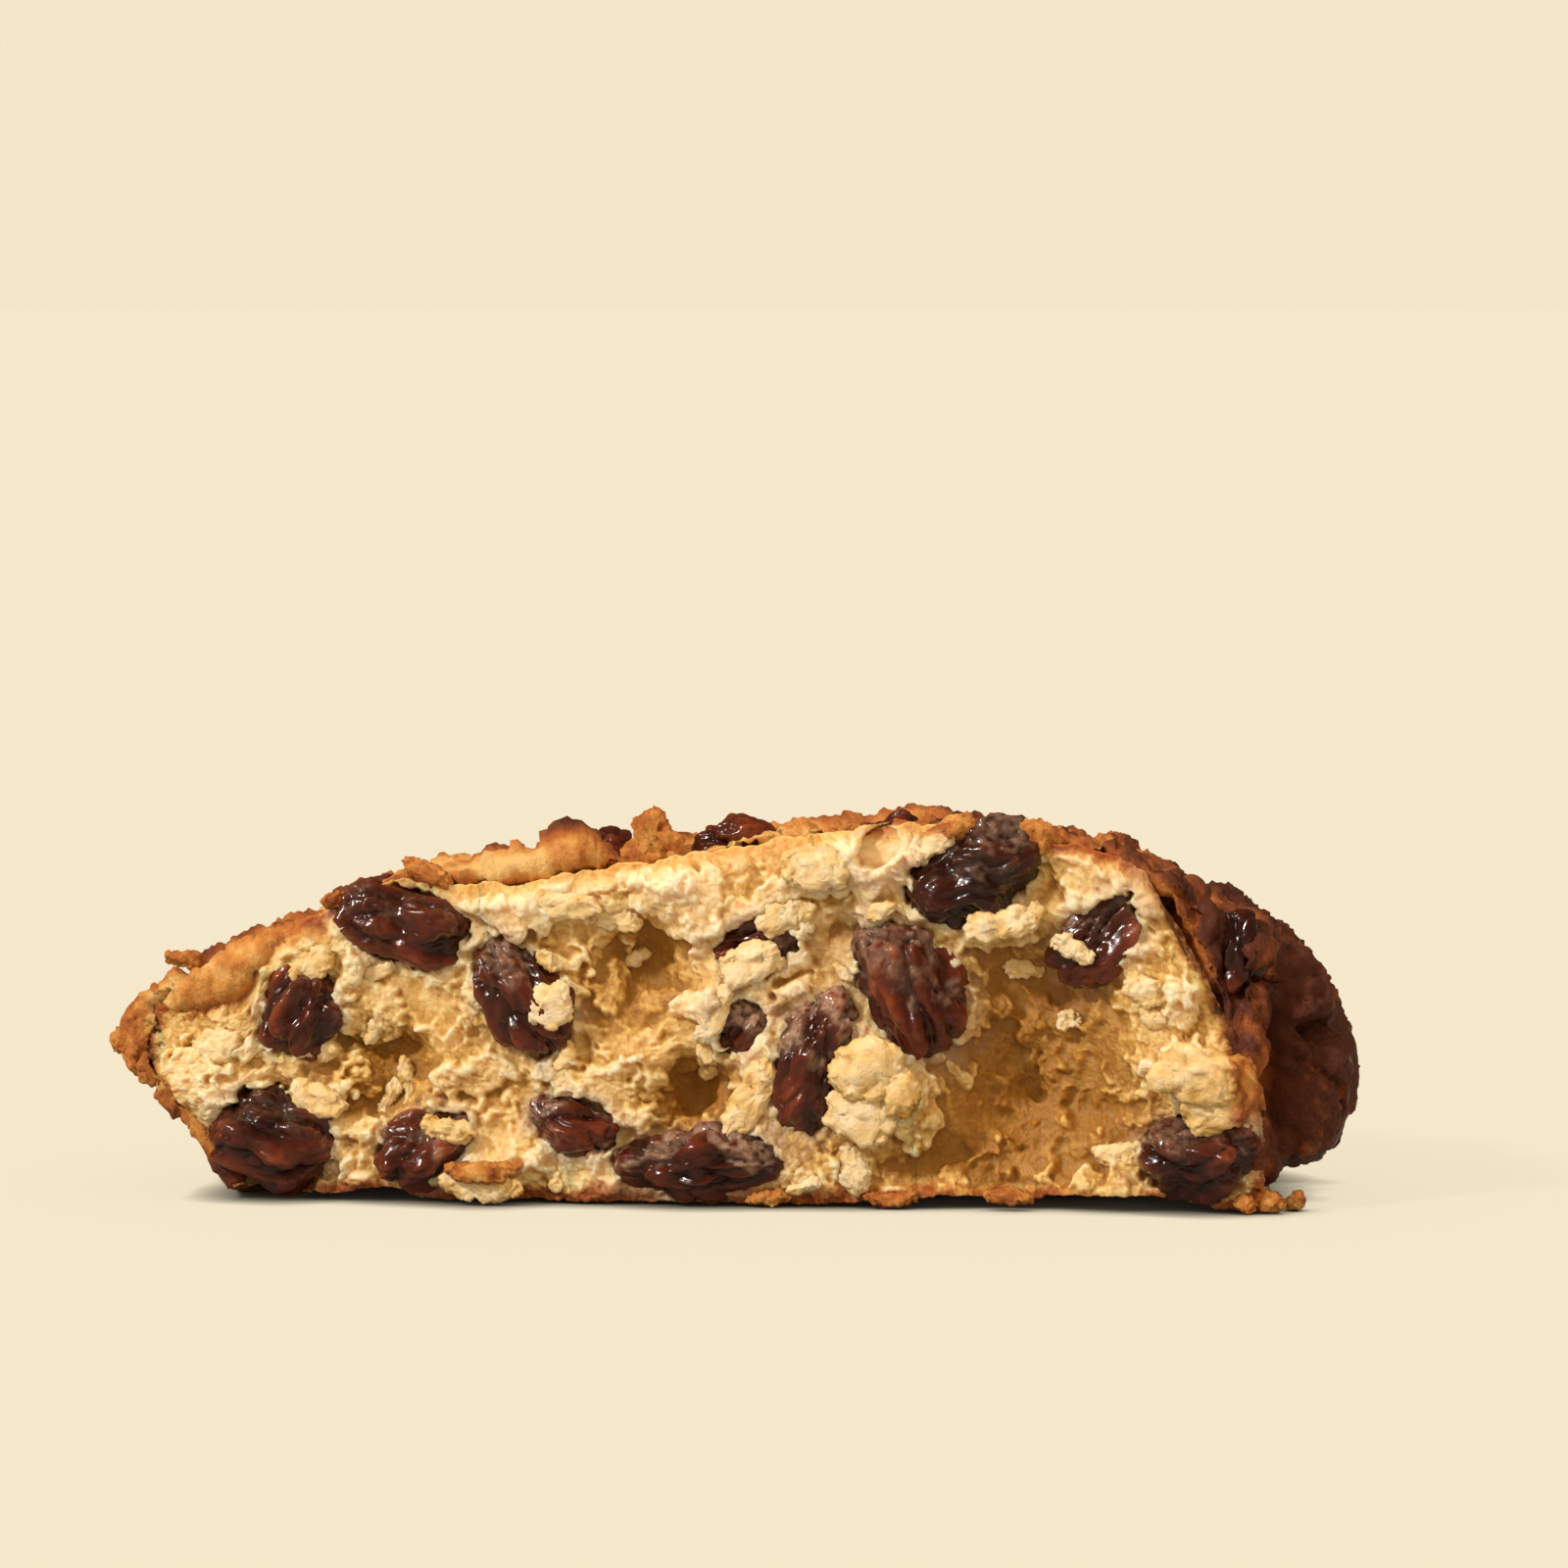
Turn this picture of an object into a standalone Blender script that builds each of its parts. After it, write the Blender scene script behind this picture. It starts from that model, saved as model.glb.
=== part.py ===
"""Half of a thick oatmeal raisin cookie, broken across the middle and lying on its flat underside.

The dough is one solid, lofted along X through D-shaped sections: a broken face towards -Y, a domed
crust on top, and a rounded rim that leans in to the flat underside. Each raisin is a wrinkled
solid of its own, sunk in a pocket that is cut a little larger than the raisin.
Sizes are in millimetres, and become metres when a mesh is made. Before the last step the broken
face is at y = 0, and the last step brings the middle of the base to the origin.
"""

import math

import bpy
import numpy as np
from mathutils import Euler, Matrix, Vector

MM = 0.001
GAP = 0.3  # between a raisin and its pocket

# The dough's outline. X runs along the broken face, Y from that face to the back, Z up.
LEFT, RIGHT = -55.4, 55.4
DEPTH = 52.0
LEFT_TIP_Y, LEFT_TIP_Z = 3.0, 14.0
RIGHT_TIP_Y, RIGHT_TIP_Z = 12.0, 12.0
# Height of the crust above the broken face, as (x, z).
TOP_EDGE = (
    (LEFT, 21.0), (-47.0, 22.0), (-37.0, 26.6), (-28.0, 29.8), (-12.0, 31.0),
    (8.0, 33.4), (20.0, 34.2), (34.0, 32.6), (44.0, 29.2), (RIGHT, 25.0),
)
# The rim's underside at the left end, as (x, z).
LEFT_UNDERSIDE = ((LEFT, LEFT_TIP_Z), (-53.6, 9.8), (-50.5, 7.8), (-48.0, 6.0), (-46.3, 3.0), (-45.0, 0.0))
# Where the front of the dough turns back at its two ends, as (x, y).
FRONT_TURN = (
    (LEFT, LEFT_TIP_Y), (-53.6, 1.2), (-50.0, 0.0), (47.0, 0.0),
    (49.5, 2.4), (52.5, 6.0), (54.6, 9.4), (RIGHT, RIGHT_TIP_Y),
)
END_SQUARENESS = 7.0
PLAN_SQUARENESS = 2.3
DOME_SQUARENESS = 2.5
BACK_WIDEST_Z = 13.0
BACK_LEAN = 7.0  # how far the rim leans in from its widest line to the base

# Hollows and lumps of the broken face, as (x, z, radius along x, radius along z, height).
FACE_RELIEF = (
    (27.4, 13.0, 6.5, 10.0, -5.0),
    (-7.7, 21.5, 3.4, 3.6, -3.6),
    (-2.4, 9.6, 3.6, 2.8, -3.6),
    (-39.6, 1.2, 5.0, 2.0, -3.0),
    (-31.5, 14.5, 3.4, 3.0, -1.6),
    (13.2, 11.4, 4.2, 4.6, 2.6),
    (-0.6, 20.0, 2.8, 5.0, 1.4),
    (42.8, 11.2, 5.0, 3.8, 2.6),
    (-21.4, 2.8, 4.0, 2.8, 2.6),
    (13.5, 31.0, 7.0, 3.4, 2.2),
    (-20.0, 26.0, 7.0, 3.5, 1.0),
)
# Lumps of the crust, as (x, y, radius, height).
CRUST_LUMPS = (
    (-14.6, 3.0, 3.6, 2.6), (-24.5, 4.0, 3.2, 0.3), (-30.0, 26.0, 6.0, 0.6), (-6.0, 34.0, 7.0, 1.6),
    (17.0, 22.0, 6.0, 0.8), (33.0, 30.0, 6.0, 0.7), (2.0, 14.0, 5.0, 1.0), (-44.0, 12.0, 4.0, 1.2),
    (42.0, 14.0, 4.5, 0.3),
)

# Raisins of the broken face: x, y, z, half length, half width, half thickness, and the turn of
# the length from +X, in degrees, seen from the front.
FACE_RAISINS = (
    (-28.8, 1.6, 25.2, 6.5, 3.8, 3.5, -16),
    (-38.4, 1.2, 17.2, 4.4, 3.8, 3.2, 62),
    (-17.9, 0.8, 18.8, 6.4, 3.7, 3.4, -54),
    (-40.6, 1.4, 6.2, 5.6, 4.7, 4.2, -12),
    (-27.2, 1.0, 5.2, 4.9, 3.2, 3.3, 28),
    (-13.3, 1.0, 7.4, 4.1, 2.7, 2.9, -12),
    (-2.0, 0.4, 4.3, 7.6, 3.1, 3.4, 4),
    (2.9, 2.0, 23.4, 4.6, 2.8, 2.8, 14),
    (1.4, 2.6, 16.4, 3.6, 2.8, 2.8, 48),
    (16.9, 1.2, 19.9, 6.9, 4.6, 3.7, -60),
    (7.6, 1.2, 12.9, 7.2, 3.8, 3.5, 74),
    (22.0, 2.4, 30.2, 6.6, 4.5, 4.4, 26),
    (33.4, 2.4, 24.6, 6.0, 3.2, 3.1, 50),
    (42.4, 0.6, 4.9, 5.6, 3.9, 3.9, 8),
    (13.6, 4.6, 32.2, 3.8, 2.3, 2.4, 46),
    (-12.0, 5.2, 30.2, 4.6, 2.9, 2.7, 16),
    (1.2, 5.4, 31.6, 4.4, 3.0, 2.7, -6),
    (45.4, 3.4, 22.8, 4.2, 2.3, 2.4, 82),
)
# Raisins of the crust: x, place from the broken face (0) over the dome to the widest line (1) and
# on to the base (2), half length, half width, half thickness, and the turn of the length from +X.
CRUST_RAISINS = (
    (-44.5, 0.62, 5.6, 3.6, 3.2, 20),
    (-33.5, 0.60, 5.0, 3.6, 3.0, 65),
    (-26.5, 0.80, 5.8, 3.8, 3.2, -25),
    (-18.0, 0.48, 5.2, 3.4, 3.0, 10),
    (-9.0, 0.84, 6.0, 3.6, 3.2, 50),
    (-3.5, 0.52, 5.4, 3.8, 3.2, -40),
    (8.5, 0.74, 5.4, 3.6, 3.0, 15),
    (15.0, 0.40, 5.8, 3.6, 3.2, 80),
    (24.5, 0.64, 5.2, 3.8, 3.2, -15),
    (31.0, 0.90, 5.6, 3.6, 3.0, 35),
    (35.0, 0.60, 5.0, 3.4, 3.0, -60),
    (43.0, 0.72, 5.4, 3.6, 3.2, 5),
    (-36.0, 1.02, 5.2, 3.4, 3.0, -10),
    (-17.0, 1.12, 5.6, 3.6, 3.2, 20),
    (3.0, 1.16, 5.0, 3.4, 3.0, -30),
    (20.0, 1.10, 5.4, 3.6, 3.0, 12),
)
CRUST_RAISIN_SINK = 1.5  # how far below the crust a raisin's middle lies
# The raisin that bulges out of the rim at the right end, under a skin of crust.
RIM_RAISIN = (51.2, 10.6, 9.4, 5.6, 3.6, 3.4, 84)

COLUMNS, FACE_ROWS, DOME_ROWS, RIM_ROWS, BASE_ROWS = 36, 10, 9, 4, 3
RAISIN_SEGMENTS, RAISIN_RINGS = 10, 6
RAISIN_FURROWS, FURROW_DEPTH = 5, 0.09

DOUGH_COLOUR, DOUGH_ROUGHNESS = (0.72, 0.45, 0.19, 1.0), 0.75
RAISIN_COLOUR, RAISIN_ROUGHNESS = (0.075, 0.02, 0.012, 1.0), 0.35


def clear_scene():
    for obj in list(bpy.data.objects):
        bpy.data.objects.remove(obj)


def new_collection(name):
    collection = bpy.data.collections.new(name)
    bpy.context.scene.collection.children.link(collection)
    return collection


def new_material(name, colour, roughness):
    material = bpy.data.materials.new(name)
    material.use_nodes = True
    shader = material.node_tree.nodes["Principled BSDF"]
    shader.inputs["Base Color"].default_value = colour
    shader.inputs["Roughness"].default_value = roughness
    shader.inputs["Metallic"].default_value = 0.0
    material.diffuse_color = colour
    return material


def new_object(name, mesh, material, collection):
    mesh.materials.append(material)
    obj = bpy.data.objects.new(name, mesh)
    collection.objects.link(obj)
    return obj


def smooth_curve(points, at):
    """A cubic through the points, with each point's slope taken from its two neighbours."""
    x, y = np.array(points).T
    slope = np.gradient(y, x)
    i = np.clip(np.searchsorted(x, at) - 1, 0, len(x) - 2)
    width = x[i + 1] - x[i]
    t = (at - x[i]) / width
    start = (2 * t**3 - 3 * t**2 + 1) * y[i] + (t**3 - 2 * t**2 + t) * width * slope[i]
    end = (3 * t**2 - 2 * t**3) * y[i + 1] + (t**3 - t**2) * width * slope[i + 1]
    return start + end


def straight_curve(points, at):
    """Straight lines through the points."""
    x, y = np.array(points).T
    return np.interp(at, x, y)


def face_relief(x, z):
    """How far the broken face stands out at x, z: a sum of bell-shaped lumps and hollows."""
    height = np.zeros(np.broadcast(x, z).shape)
    for x0, z0, radius_x, radius_z, rise in FACE_RELIEF:
        height += rise * np.exp(-(((x - x0) / radius_x) ** 2) - ((z - z0) / radius_z) ** 2)
    return height


def crust_relief(x, y):
    """How far the crust bulges at x, y: bell-shaped lumps on a slow swell."""
    height = 0.5 * np.sin(x / 4.6 + 0.4) * np.sin(y / 4.1 + 1.1) + 0.4 * np.sin(x / 2.9 - y / 5.3)
    for x0, y0, radius, rise in CRUST_LUMPS:
        height += rise * np.exp(-((x - x0) ** 2 + (y - y0) ** 2) / radius**2)
    return height


def section_sizes(x):
    """The front, back, top, base and widest height of the dough's section at each x."""
    middle, half = (LEFT + RIGHT) / 2, (RIGHT - LEFT) / 2
    side = np.clip(np.abs(x - middle) / half, 0.0, 1.0)
    along = (x - LEFT) / (RIGHT - LEFT)
    roundness = np.sqrt(1 - side**END_SQUARENESS)
    tip_y = LEFT_TIP_Y + (RIGHT_TIP_Y - LEFT_TIP_Y) * along
    tip_z = LEFT_TIP_Z + (RIGHT_TIP_Z - LEFT_TIP_Z) * along
    front = straight_curve(FRONT_TURN, x)
    plan = (1 - side**PLAN_SQUARENESS) ** (1 / PLAN_SQUARENESS)
    back = tip_y + (DEPTH - tip_y) * plan
    top = tip_z + (smooth_curve(TOP_EDGE, x) - tip_z) * roundness
    base = np.where(x < middle, straight_curve(LEFT_UNDERSIDE, x), tip_z * (1 - roundness))
    widest = tip_z + (BACK_WIDEST_Z - tip_z) * plan
    lean = BACK_LEAN * plan
    return front, back, top, base, widest, lean


def dome_point(x, turn):
    """A point of the dome at x: turn 0 is at the broken face, and a quarter turn at the widest line."""
    front, back, top, _, widest, _ = section_sizes(x)
    y = front + (back - front) * np.sin(turn) ** (2 / DOME_SQUARENESS)
    z = widest + (top - widest) * np.cos(turn) ** (2 / DOME_SQUARENESS)
    fade = np.cos(turn) ** 0.5 * np.minimum(1.0, (top - widest) / 6.0)
    return y, z + crust_relief(x, y) * fade


def rim_point(x, t):
    """A point of the rim at x: t runs from the widest line (0) to the base (1)."""
    _, back, _, base, widest, lean = section_sizes(x)
    return back - lean * t**2, widest - (widest - base) * t


def dough_mesh():
    """Each column is one section's loop: up the broken face, over the dome, down the rim, along the base."""
    sweep = np.linspace(0, math.pi, COLUMNS + 2)[1:-1]
    x = (LEFT + RIGHT) / 2 - (RIGHT - LEFT) / 2 * np.cos(sweep)
    x = x[:, None]
    front, back, top, base, _, lean = section_sizes(x)
    edge_y, edge_z = dome_point(x, 0.0)

    up = np.linspace(0, 1, FACE_ROWS, endpoint=False)[None, :]
    face_z = base + (edge_z - base) * up
    taper = np.minimum(1.0, (top - base) / 12.0)
    face_y = front - face_relief(x, face_z) * taper

    dome_y, dome_z = dome_point(x, np.linspace(0, math.pi / 2, DOME_ROWS, endpoint=False)[None, :])
    dome_y[:, :1] = edge_y - face_relief(x, edge_z) * taper
    rim_y, rim_z = rim_point(x, np.linspace(0, 1, RIM_ROWS, endpoint=False)[None, :])
    under = np.linspace(0, 1, BASE_ROWS, endpoint=False)[None, :]
    base_y = (back - lean) + (face_y[:, :1] - back + lean) * under
    base_z = np.broadcast_to(base, base_y.shape)

    y = np.concatenate([face_y, dome_y, rim_y, base_y], axis=1)
    z = np.concatenate([face_z, dome_z, rim_z, base_z], axis=1)
    points = np.stack([np.broadcast_to(x, y.shape), y, z], axis=-1)
    loop = y.shape[1]
    tips = [(LEFT, LEFT_TIP_Y, LEFT_TIP_Z), (RIGHT, RIGHT_TIP_Y, RIGHT_TIP_Z)]
    vertices = np.concatenate([points.reshape(-1, 3), tips]) * MM

    faces = []
    left_tip = COLUMNS * loop
    right_tip = left_tip + 1
    last = (COLUMNS - 1) * loop
    for j in range(loop):
        following = (j + 1) % loop
        faces.append((left_tip, j, following))
        faces.append((right_tip, last + following, last + j))
        for i in range(COLUMNS - 1):
            a, b = i * loop + j, i * loop + following
            c, d = b + loop, a + loop
            faces.append((a, c, b))
            faces.append((a, d, c))
    mesh = bpy.data.meshes.new("dough")
    mesh.from_pydata([tuple(v) for v in vertices], [], faces)
    mesh.update()
    return mesh


def raisin_mesh(name, half_sizes):
    """A ball stretched along X, with furrows that run its length and fade at its ends."""
    half_length, half_width, half_thickness = half_sizes
    rows = []
    for ring in range(1, RAISIN_RINGS):
        lean = math.pi * ring / RAISIN_RINGS
        for segment in range(RAISIN_SEGMENTS):
            turn = 2 * math.pi * segment / RAISIN_SEGMENTS
            furrow = 1 - FURROW_DEPTH * math.cos(RAISIN_FURROWS * turn) * math.sin(lean)
            across = math.sin(lean) * furrow
            rows.append((
                -half_length * math.cos(lean),
                half_width * across * math.cos(turn),
                half_thickness * across * math.sin(turn),
            ))
    ends = [(-half_length, 0.0, 0.0), (half_length, 0.0, 0.0)]
    vertices = [Vector(v) * MM for v in rows + ends]
    first_end = len(rows)
    last_end = first_end + 1
    last_ring = (RAISIN_RINGS - 2) * RAISIN_SEGMENTS
    faces = []
    for segment in range(RAISIN_SEGMENTS):
        following = (segment + 1) % RAISIN_SEGMENTS
        faces.append((first_end, following, segment))
        faces.append((last_end, last_ring + segment, last_ring + following))
        for ring in range(RAISIN_RINGS - 2):
            start = ring * RAISIN_SEGMENTS
            a, b = start + segment, start + following
            faces.append((a, b, b + RAISIN_SEGMENTS, a + RAISIN_SEGMENTS))
    mesh = bpy.data.meshes.new(name)
    mesh.from_pydata(vertices, [], faces)
    mesh.update()
    return mesh


def face_place(x, y, z, turn):
    """Stands a raisin in the broken face, its length in the face and its thickness along Y."""
    stand = Euler((math.radians(90), 0, 0)).to_matrix().to_4x4()
    lean = Matrix.Rotation(math.radians(-turn), 4, "Y")
    return Matrix.Translation(Vector((x, y, z)) * MM) @ lean @ stand


def crust_place(x, place, turn):
    """Lays a raisin on the crust: its thickness along the crust's normal, its middle below the crust."""
    step = 0.2

    def surface(at_x, at_place):
        at_x = np.float64(at_x)
        if at_place < 1:
            y, z = dome_point(at_x, at_place * math.pi / 2)
        else:
            y, z = rim_point(at_x, at_place - 1)
        return Vector((float(at_x), float(y), float(z)))

    along = (surface(x + step, place) - surface(x - step, place)).normalized()
    over = surface(x, min(place + 0.05, 2.0)) - surface(x, place - 0.05)
    normal = along.cross(over).normalized()
    across = normal.cross(along)
    basis = Matrix((along, across, normal)).transposed().to_4x4()
    middle = (surface(x, place) - normal * CRUST_RAISIN_SINK) * MM
    return Matrix.Translation(middle) @ basis @ Matrix.Rotation(math.radians(turn), 4, "Z")


def raisin_places():
    """Each raisin's half sizes and its place."""
    for x, y, z, length, width, thickness, turn in FACE_RAISINS + (RIM_RAISIN,):
        yield (length, width, thickness), face_place(x, y, z, turn)
    for x, place, length, width, thickness, turn in CRUST_RAISINS:
        yield (length, width, thickness), crust_place(x, place, turn)


def cut_pocket(dough, number, half_sizes, place, cutters):
    """Cuts a raisin's pocket, larger than the raisin by the gap on every side."""
    mesh = raisin_mesh(f"pocket_{number:02d}", [size + GAP for size in half_sizes])
    mesh.transform(place)
    cutter = bpy.data.objects.new(mesh.name, mesh)
    cutters.objects.link(cutter)
    cutter.hide_render = True
    cutter.display_type = "WIRE"
    cut = dough.modifiers.new(mesh.name, "BOOLEAN")
    cut.operation = "DIFFERENCE"
    cut.object = cutter


def bring_base_to_origin(dough, pieces, cutters):
    """Moves every mesh so that the middle of the whole half's base is at the origin."""
    corners = []
    for piece in [dough] + pieces:
        corners += [vertex.co.copy() for vertex in piece.data.vertices]
    low = Vector([min(corner[axis] for corner in corners) for axis in range(3)])
    high = Vector([max(corner[axis] for corner in corners) for axis in range(3)])
    move = Matrix.Translation((-(low.x + high.x) / 2, -(low.y + high.y) / 2, -low.z))
    for piece in [dough] + pieces + list(cutters.objects):
        piece.data.transform(move)


def build():
    clear_scene()
    cookie = new_collection("cookie half")
    cutters = new_collection("pocket cutters")
    dough_material = new_material("dough", DOUGH_COLOUR, DOUGH_ROUGHNESS)
    raisin_material = new_material("raisin", RAISIN_COLOUR, RAISIN_ROUGHNESS)
    dough = new_object("dough", dough_mesh(), dough_material, cookie)
    raisins = []
    for number, (half_sizes, place) in enumerate(raisin_places(), start=1):
        mesh = raisin_mesh(f"raisin_{number:02d}", half_sizes)
        mesh.transform(place)
        raisins.append(new_object(mesh.name, mesh, raisin_material, cookie))
        cut_pocket(dough, number, half_sizes, place, cutters)
    bring_base_to_origin(dough, raisins, cutters)


build()
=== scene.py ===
import math
from itertools import product

import bpy
import numpy as np
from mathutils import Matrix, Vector


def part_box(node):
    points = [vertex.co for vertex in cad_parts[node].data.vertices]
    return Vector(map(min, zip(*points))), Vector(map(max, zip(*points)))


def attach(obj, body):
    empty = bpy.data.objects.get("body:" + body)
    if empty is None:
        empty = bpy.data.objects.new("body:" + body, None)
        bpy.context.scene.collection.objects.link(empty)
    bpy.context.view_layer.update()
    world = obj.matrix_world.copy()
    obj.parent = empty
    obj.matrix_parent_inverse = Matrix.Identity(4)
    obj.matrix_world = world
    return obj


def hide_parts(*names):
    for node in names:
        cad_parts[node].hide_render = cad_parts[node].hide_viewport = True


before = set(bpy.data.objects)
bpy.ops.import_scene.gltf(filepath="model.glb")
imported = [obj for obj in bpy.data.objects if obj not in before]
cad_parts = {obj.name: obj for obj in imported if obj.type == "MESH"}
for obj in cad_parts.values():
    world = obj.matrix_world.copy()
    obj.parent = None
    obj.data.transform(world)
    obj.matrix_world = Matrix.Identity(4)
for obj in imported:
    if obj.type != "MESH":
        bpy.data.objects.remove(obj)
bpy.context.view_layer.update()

# ---------------------------------------------------------------------------------------------
# The dough: its outline. One ball of soft dough, baked into a thick round and broken across the
# middle. The shape is in millimetres, with the broken face at y = 0, and is lofted along X.
# ---------------------------------------------------------------------------------------------
MM = 0.001
LEFT, RIGHT = -55.4, 55.4
DEPTH = 52.0
LEFT_TIP_Y, LEFT_TIP_Z = 3.0, 14.0
RIGHT_TIP_Y, RIGHT_TIP_Z = 12.0, 12.0
TOP_EDGE = (
    (LEFT, 21.0), (-47.0, 22.0), (-37.0, 26.6), (-28.0, 29.8), (-12.0, 31.0),
    (8.0, 33.4), (20.0, 34.2), (34.0, 32.6), (44.0, 29.2), (RIGHT, 25.0),
)
LEFT_UNDERSIDE = ((LEFT, LEFT_TIP_Z), (-53.6, 9.8), (-50.5, 7.8), (-48.0, 6.0), (-46.3, 3.0), (-45.0, 0.0))
FRONT_TURN = (
    (LEFT, LEFT_TIP_Y), (-53.6, 1.2), (-50.0, 0.0), (47.0, 0.0),
    (49.5, 2.4), (52.5, 6.0), (54.6, 9.4), (RIGHT, RIGHT_TIP_Y),
)
END_SQUARENESS, PLAN_SQUARENESS, DOME_SQUARENESS = 7.0, 2.3, 2.5
BACK_WIDEST_Z, BACK_LEAN = 13.0, 7.0
FACE_RELIEF = (
    (27.4, 13.0, 6.5, 10.0, -5.0),
    (-7.7, 21.5, 3.4, 3.6, -3.6),
    (-2.4, 9.6, 3.6, 2.8, -3.6),
    (-39.6, 1.2, 5.0, 2.0, -3.0),
    (-31.5, 14.5, 3.4, 3.0, -1.6),
    (13.2, 11.4, 4.2, 4.6, 2.6),
    (-0.6, 20.0, 2.8, 5.0, 1.4),
    (42.8, 11.2, 5.0, 3.8, 2.6),
    (-21.4, 2.8, 4.0, 2.8, 2.6),
    (13.5, 31.0, 7.0, 3.4, 2.2),
    (-20.0, 26.0, 7.0, 3.5, 1.0),
)
CRUST_LUMPS = (
    (-14.6, 3.0, 3.6, 2.6), (-24.5, 4.0, 3.2, 0.3), (-30.0, 26.0, 6.0, 0.6), (-6.0, 34.0, 7.0, 1.6),
    (17.0, 22.0, 6.0, 0.8), (33.0, 30.0, 6.0, 0.7), (2.0, 14.0, 5.0, 1.0), (-44.0, 12.0, 4.0, 1.2),
    (42.0, 14.0, 4.5, 0.3),
)
dough_low, dough_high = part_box("dough")
PLACE = np.array([(dough_low.x + dough_high.x) / 2, dough_high.y - DEPTH * MM, dough_low.z])


def smooth_curve(points, at):
    """A cubic through the points, with each point's slope taken from its two neighbours."""
    x, y = np.array(points).T
    slope = np.gradient(y, x)
    i = np.clip(np.searchsorted(x, at) - 1, 0, len(x) - 2)
    width = x[i + 1] - x[i]
    t = (at - x[i]) / width
    start = (2 * t**3 - 3 * t**2 + 1) * y[i] + (t**3 - 2 * t**2 + t) * width * slope[i]
    end = (3 * t**2 - 2 * t**3) * y[i + 1] + (t**3 - t**2) * width * slope[i + 1]
    return start + end


def straight_curve(points, at):
    """Straight lines through the points."""
    x, y = np.array(points).T
    return np.interp(at, x, y)


def ramp(value, low, high):
    """0 below low, 1 above high, and a smooth S between them."""
    t = np.clip((value - low) / (high - low), 0.0, 1.0)
    return t * t * (3 - 2 * t)


def bells(u, v, shapes):
    """The sum of bell shapes, each given by its middle, its two radii and its height."""
    height = np.zeros(np.broadcast(u, v).shape)
    for u0, v0, radius_u, radius_v, rise in shapes:
        height += rise * np.exp(-(((u - u0) / radius_u) ** 2) - ((v - v0) / radius_v) ** 2)
    return height


def crust_relief(x, y):
    """Bell-shaped lumps on a slow swell of two crossed sines."""
    height = 0.5 * np.sin(x / 4.6 + 0.4) * np.sin(y / 4.1 + 1.1) + 0.4 * np.sin(x / 2.9 - y / 5.3)
    return height + bells(x, y, [(x0, y0, r, r, rise) for x0, y0, r, rise in CRUST_LUMPS])


def section_sizes(x):
    """The front, back, top, base, widest height and lean of the dough's section at each x."""
    middle, half = (LEFT + RIGHT) / 2, (RIGHT - LEFT) / 2
    side = np.clip(np.abs(x - middle) / half, 0.0, 1.0)
    along = (x - LEFT) / (RIGHT - LEFT)
    roundness = np.sqrt(1 - side**END_SQUARENESS)
    tip_y = LEFT_TIP_Y + (RIGHT_TIP_Y - LEFT_TIP_Y) * along
    tip_z = LEFT_TIP_Z + (RIGHT_TIP_Z - LEFT_TIP_Z) * along
    front = straight_curve(FRONT_TURN, x)
    plan = (1 - side**PLAN_SQUARENESS) ** (1 / PLAN_SQUARENESS)
    back = tip_y + (DEPTH - tip_y) * plan
    top = tip_z + (smooth_curve(TOP_EDGE, x) - tip_z) * roundness
    base = np.where(x < middle, straight_curve(LEFT_UNDERSIDE, x), tip_z * (1 - roundness))
    widest = tip_z + (BACK_WIDEST_Z - tip_z) * plan
    return front, back, top, base, widest, BACK_LEAN * plan


def dome_point(x, turn):
    """Turn 0 is at the broken face, a quarter turn at the widest line, on a superellipse between."""
    front, back, top, _, widest, _ = section_sizes(x)
    y = front + (back - front) * np.sin(turn) ** (2 / DOME_SQUARENESS)
    z = widest + (top - widest) * np.cos(turn) ** (2 / DOME_SQUARENESS)
    fade = np.cos(turn) ** 0.5 * np.minimum(1.0, (top - widest) / 6.0)
    return y, z + crust_relief(x, y) * fade


def rim_point(x, t):
    """From the widest line (0) to the base (1), leaning in as the square of the way down."""
    _, back, _, base, widest, lean = section_sizes(x)
    return back - lean * t**2, widest - (widest - base) * t


# The outline of the torn crumb on the broken face: its top, as (x, z), and its left and right
# ends, as (part of the height, x). What lies outside it is crust.
CRUMB_TOP = (
    (-53.4, 17.0), (-51.6, 17.2), (-46.0, 18.0), (-42.8, 19.0), (-41.4, 21.6), (-39.2, 24.2), (-36.0, 25.6),
    (-29.0, 28.6), (-24.0, 28.4), (-17.0, 28.8), (-10.0, 30.2), (0.0, 31.8), (8.0, 33.2), (16.0, 34.2),
    (26.0, 33.0), (34.0, 31.8), (37.5, 30.3), (44.0, 27.0), (48.2, 24.0),
)
CRUMB_LEFT = ((0.0, -44.3), (0.1, -44.8), (0.35, -46.8), (0.55, -50.2), (0.75, -52.4), (1.0, -51.8))
CRUMB_RIGHT = ((0.0, 48.2), (0.35, 47.8), (0.5, 46.4), (0.65, 44.6), (0.8, 42.0), (1.0, 37.5))


def crumb_margin(x, z):
    """How far inside the torn crumb's outline a point of the broken face is, in millimetres."""
    top = smooth_curve(CRUMB_TOP, np.clip(x, CRUMB_TOP[0][0], CRUMB_TOP[-1][0]))
    part = np.clip(z / top, 0.0, 1.0)
    sides = np.minimum(x - straight_curve(CRUMB_LEFT, part), straight_curve(CRUMB_RIGHT, part) - x)
    return np.minimum(sides, top - z)


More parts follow.
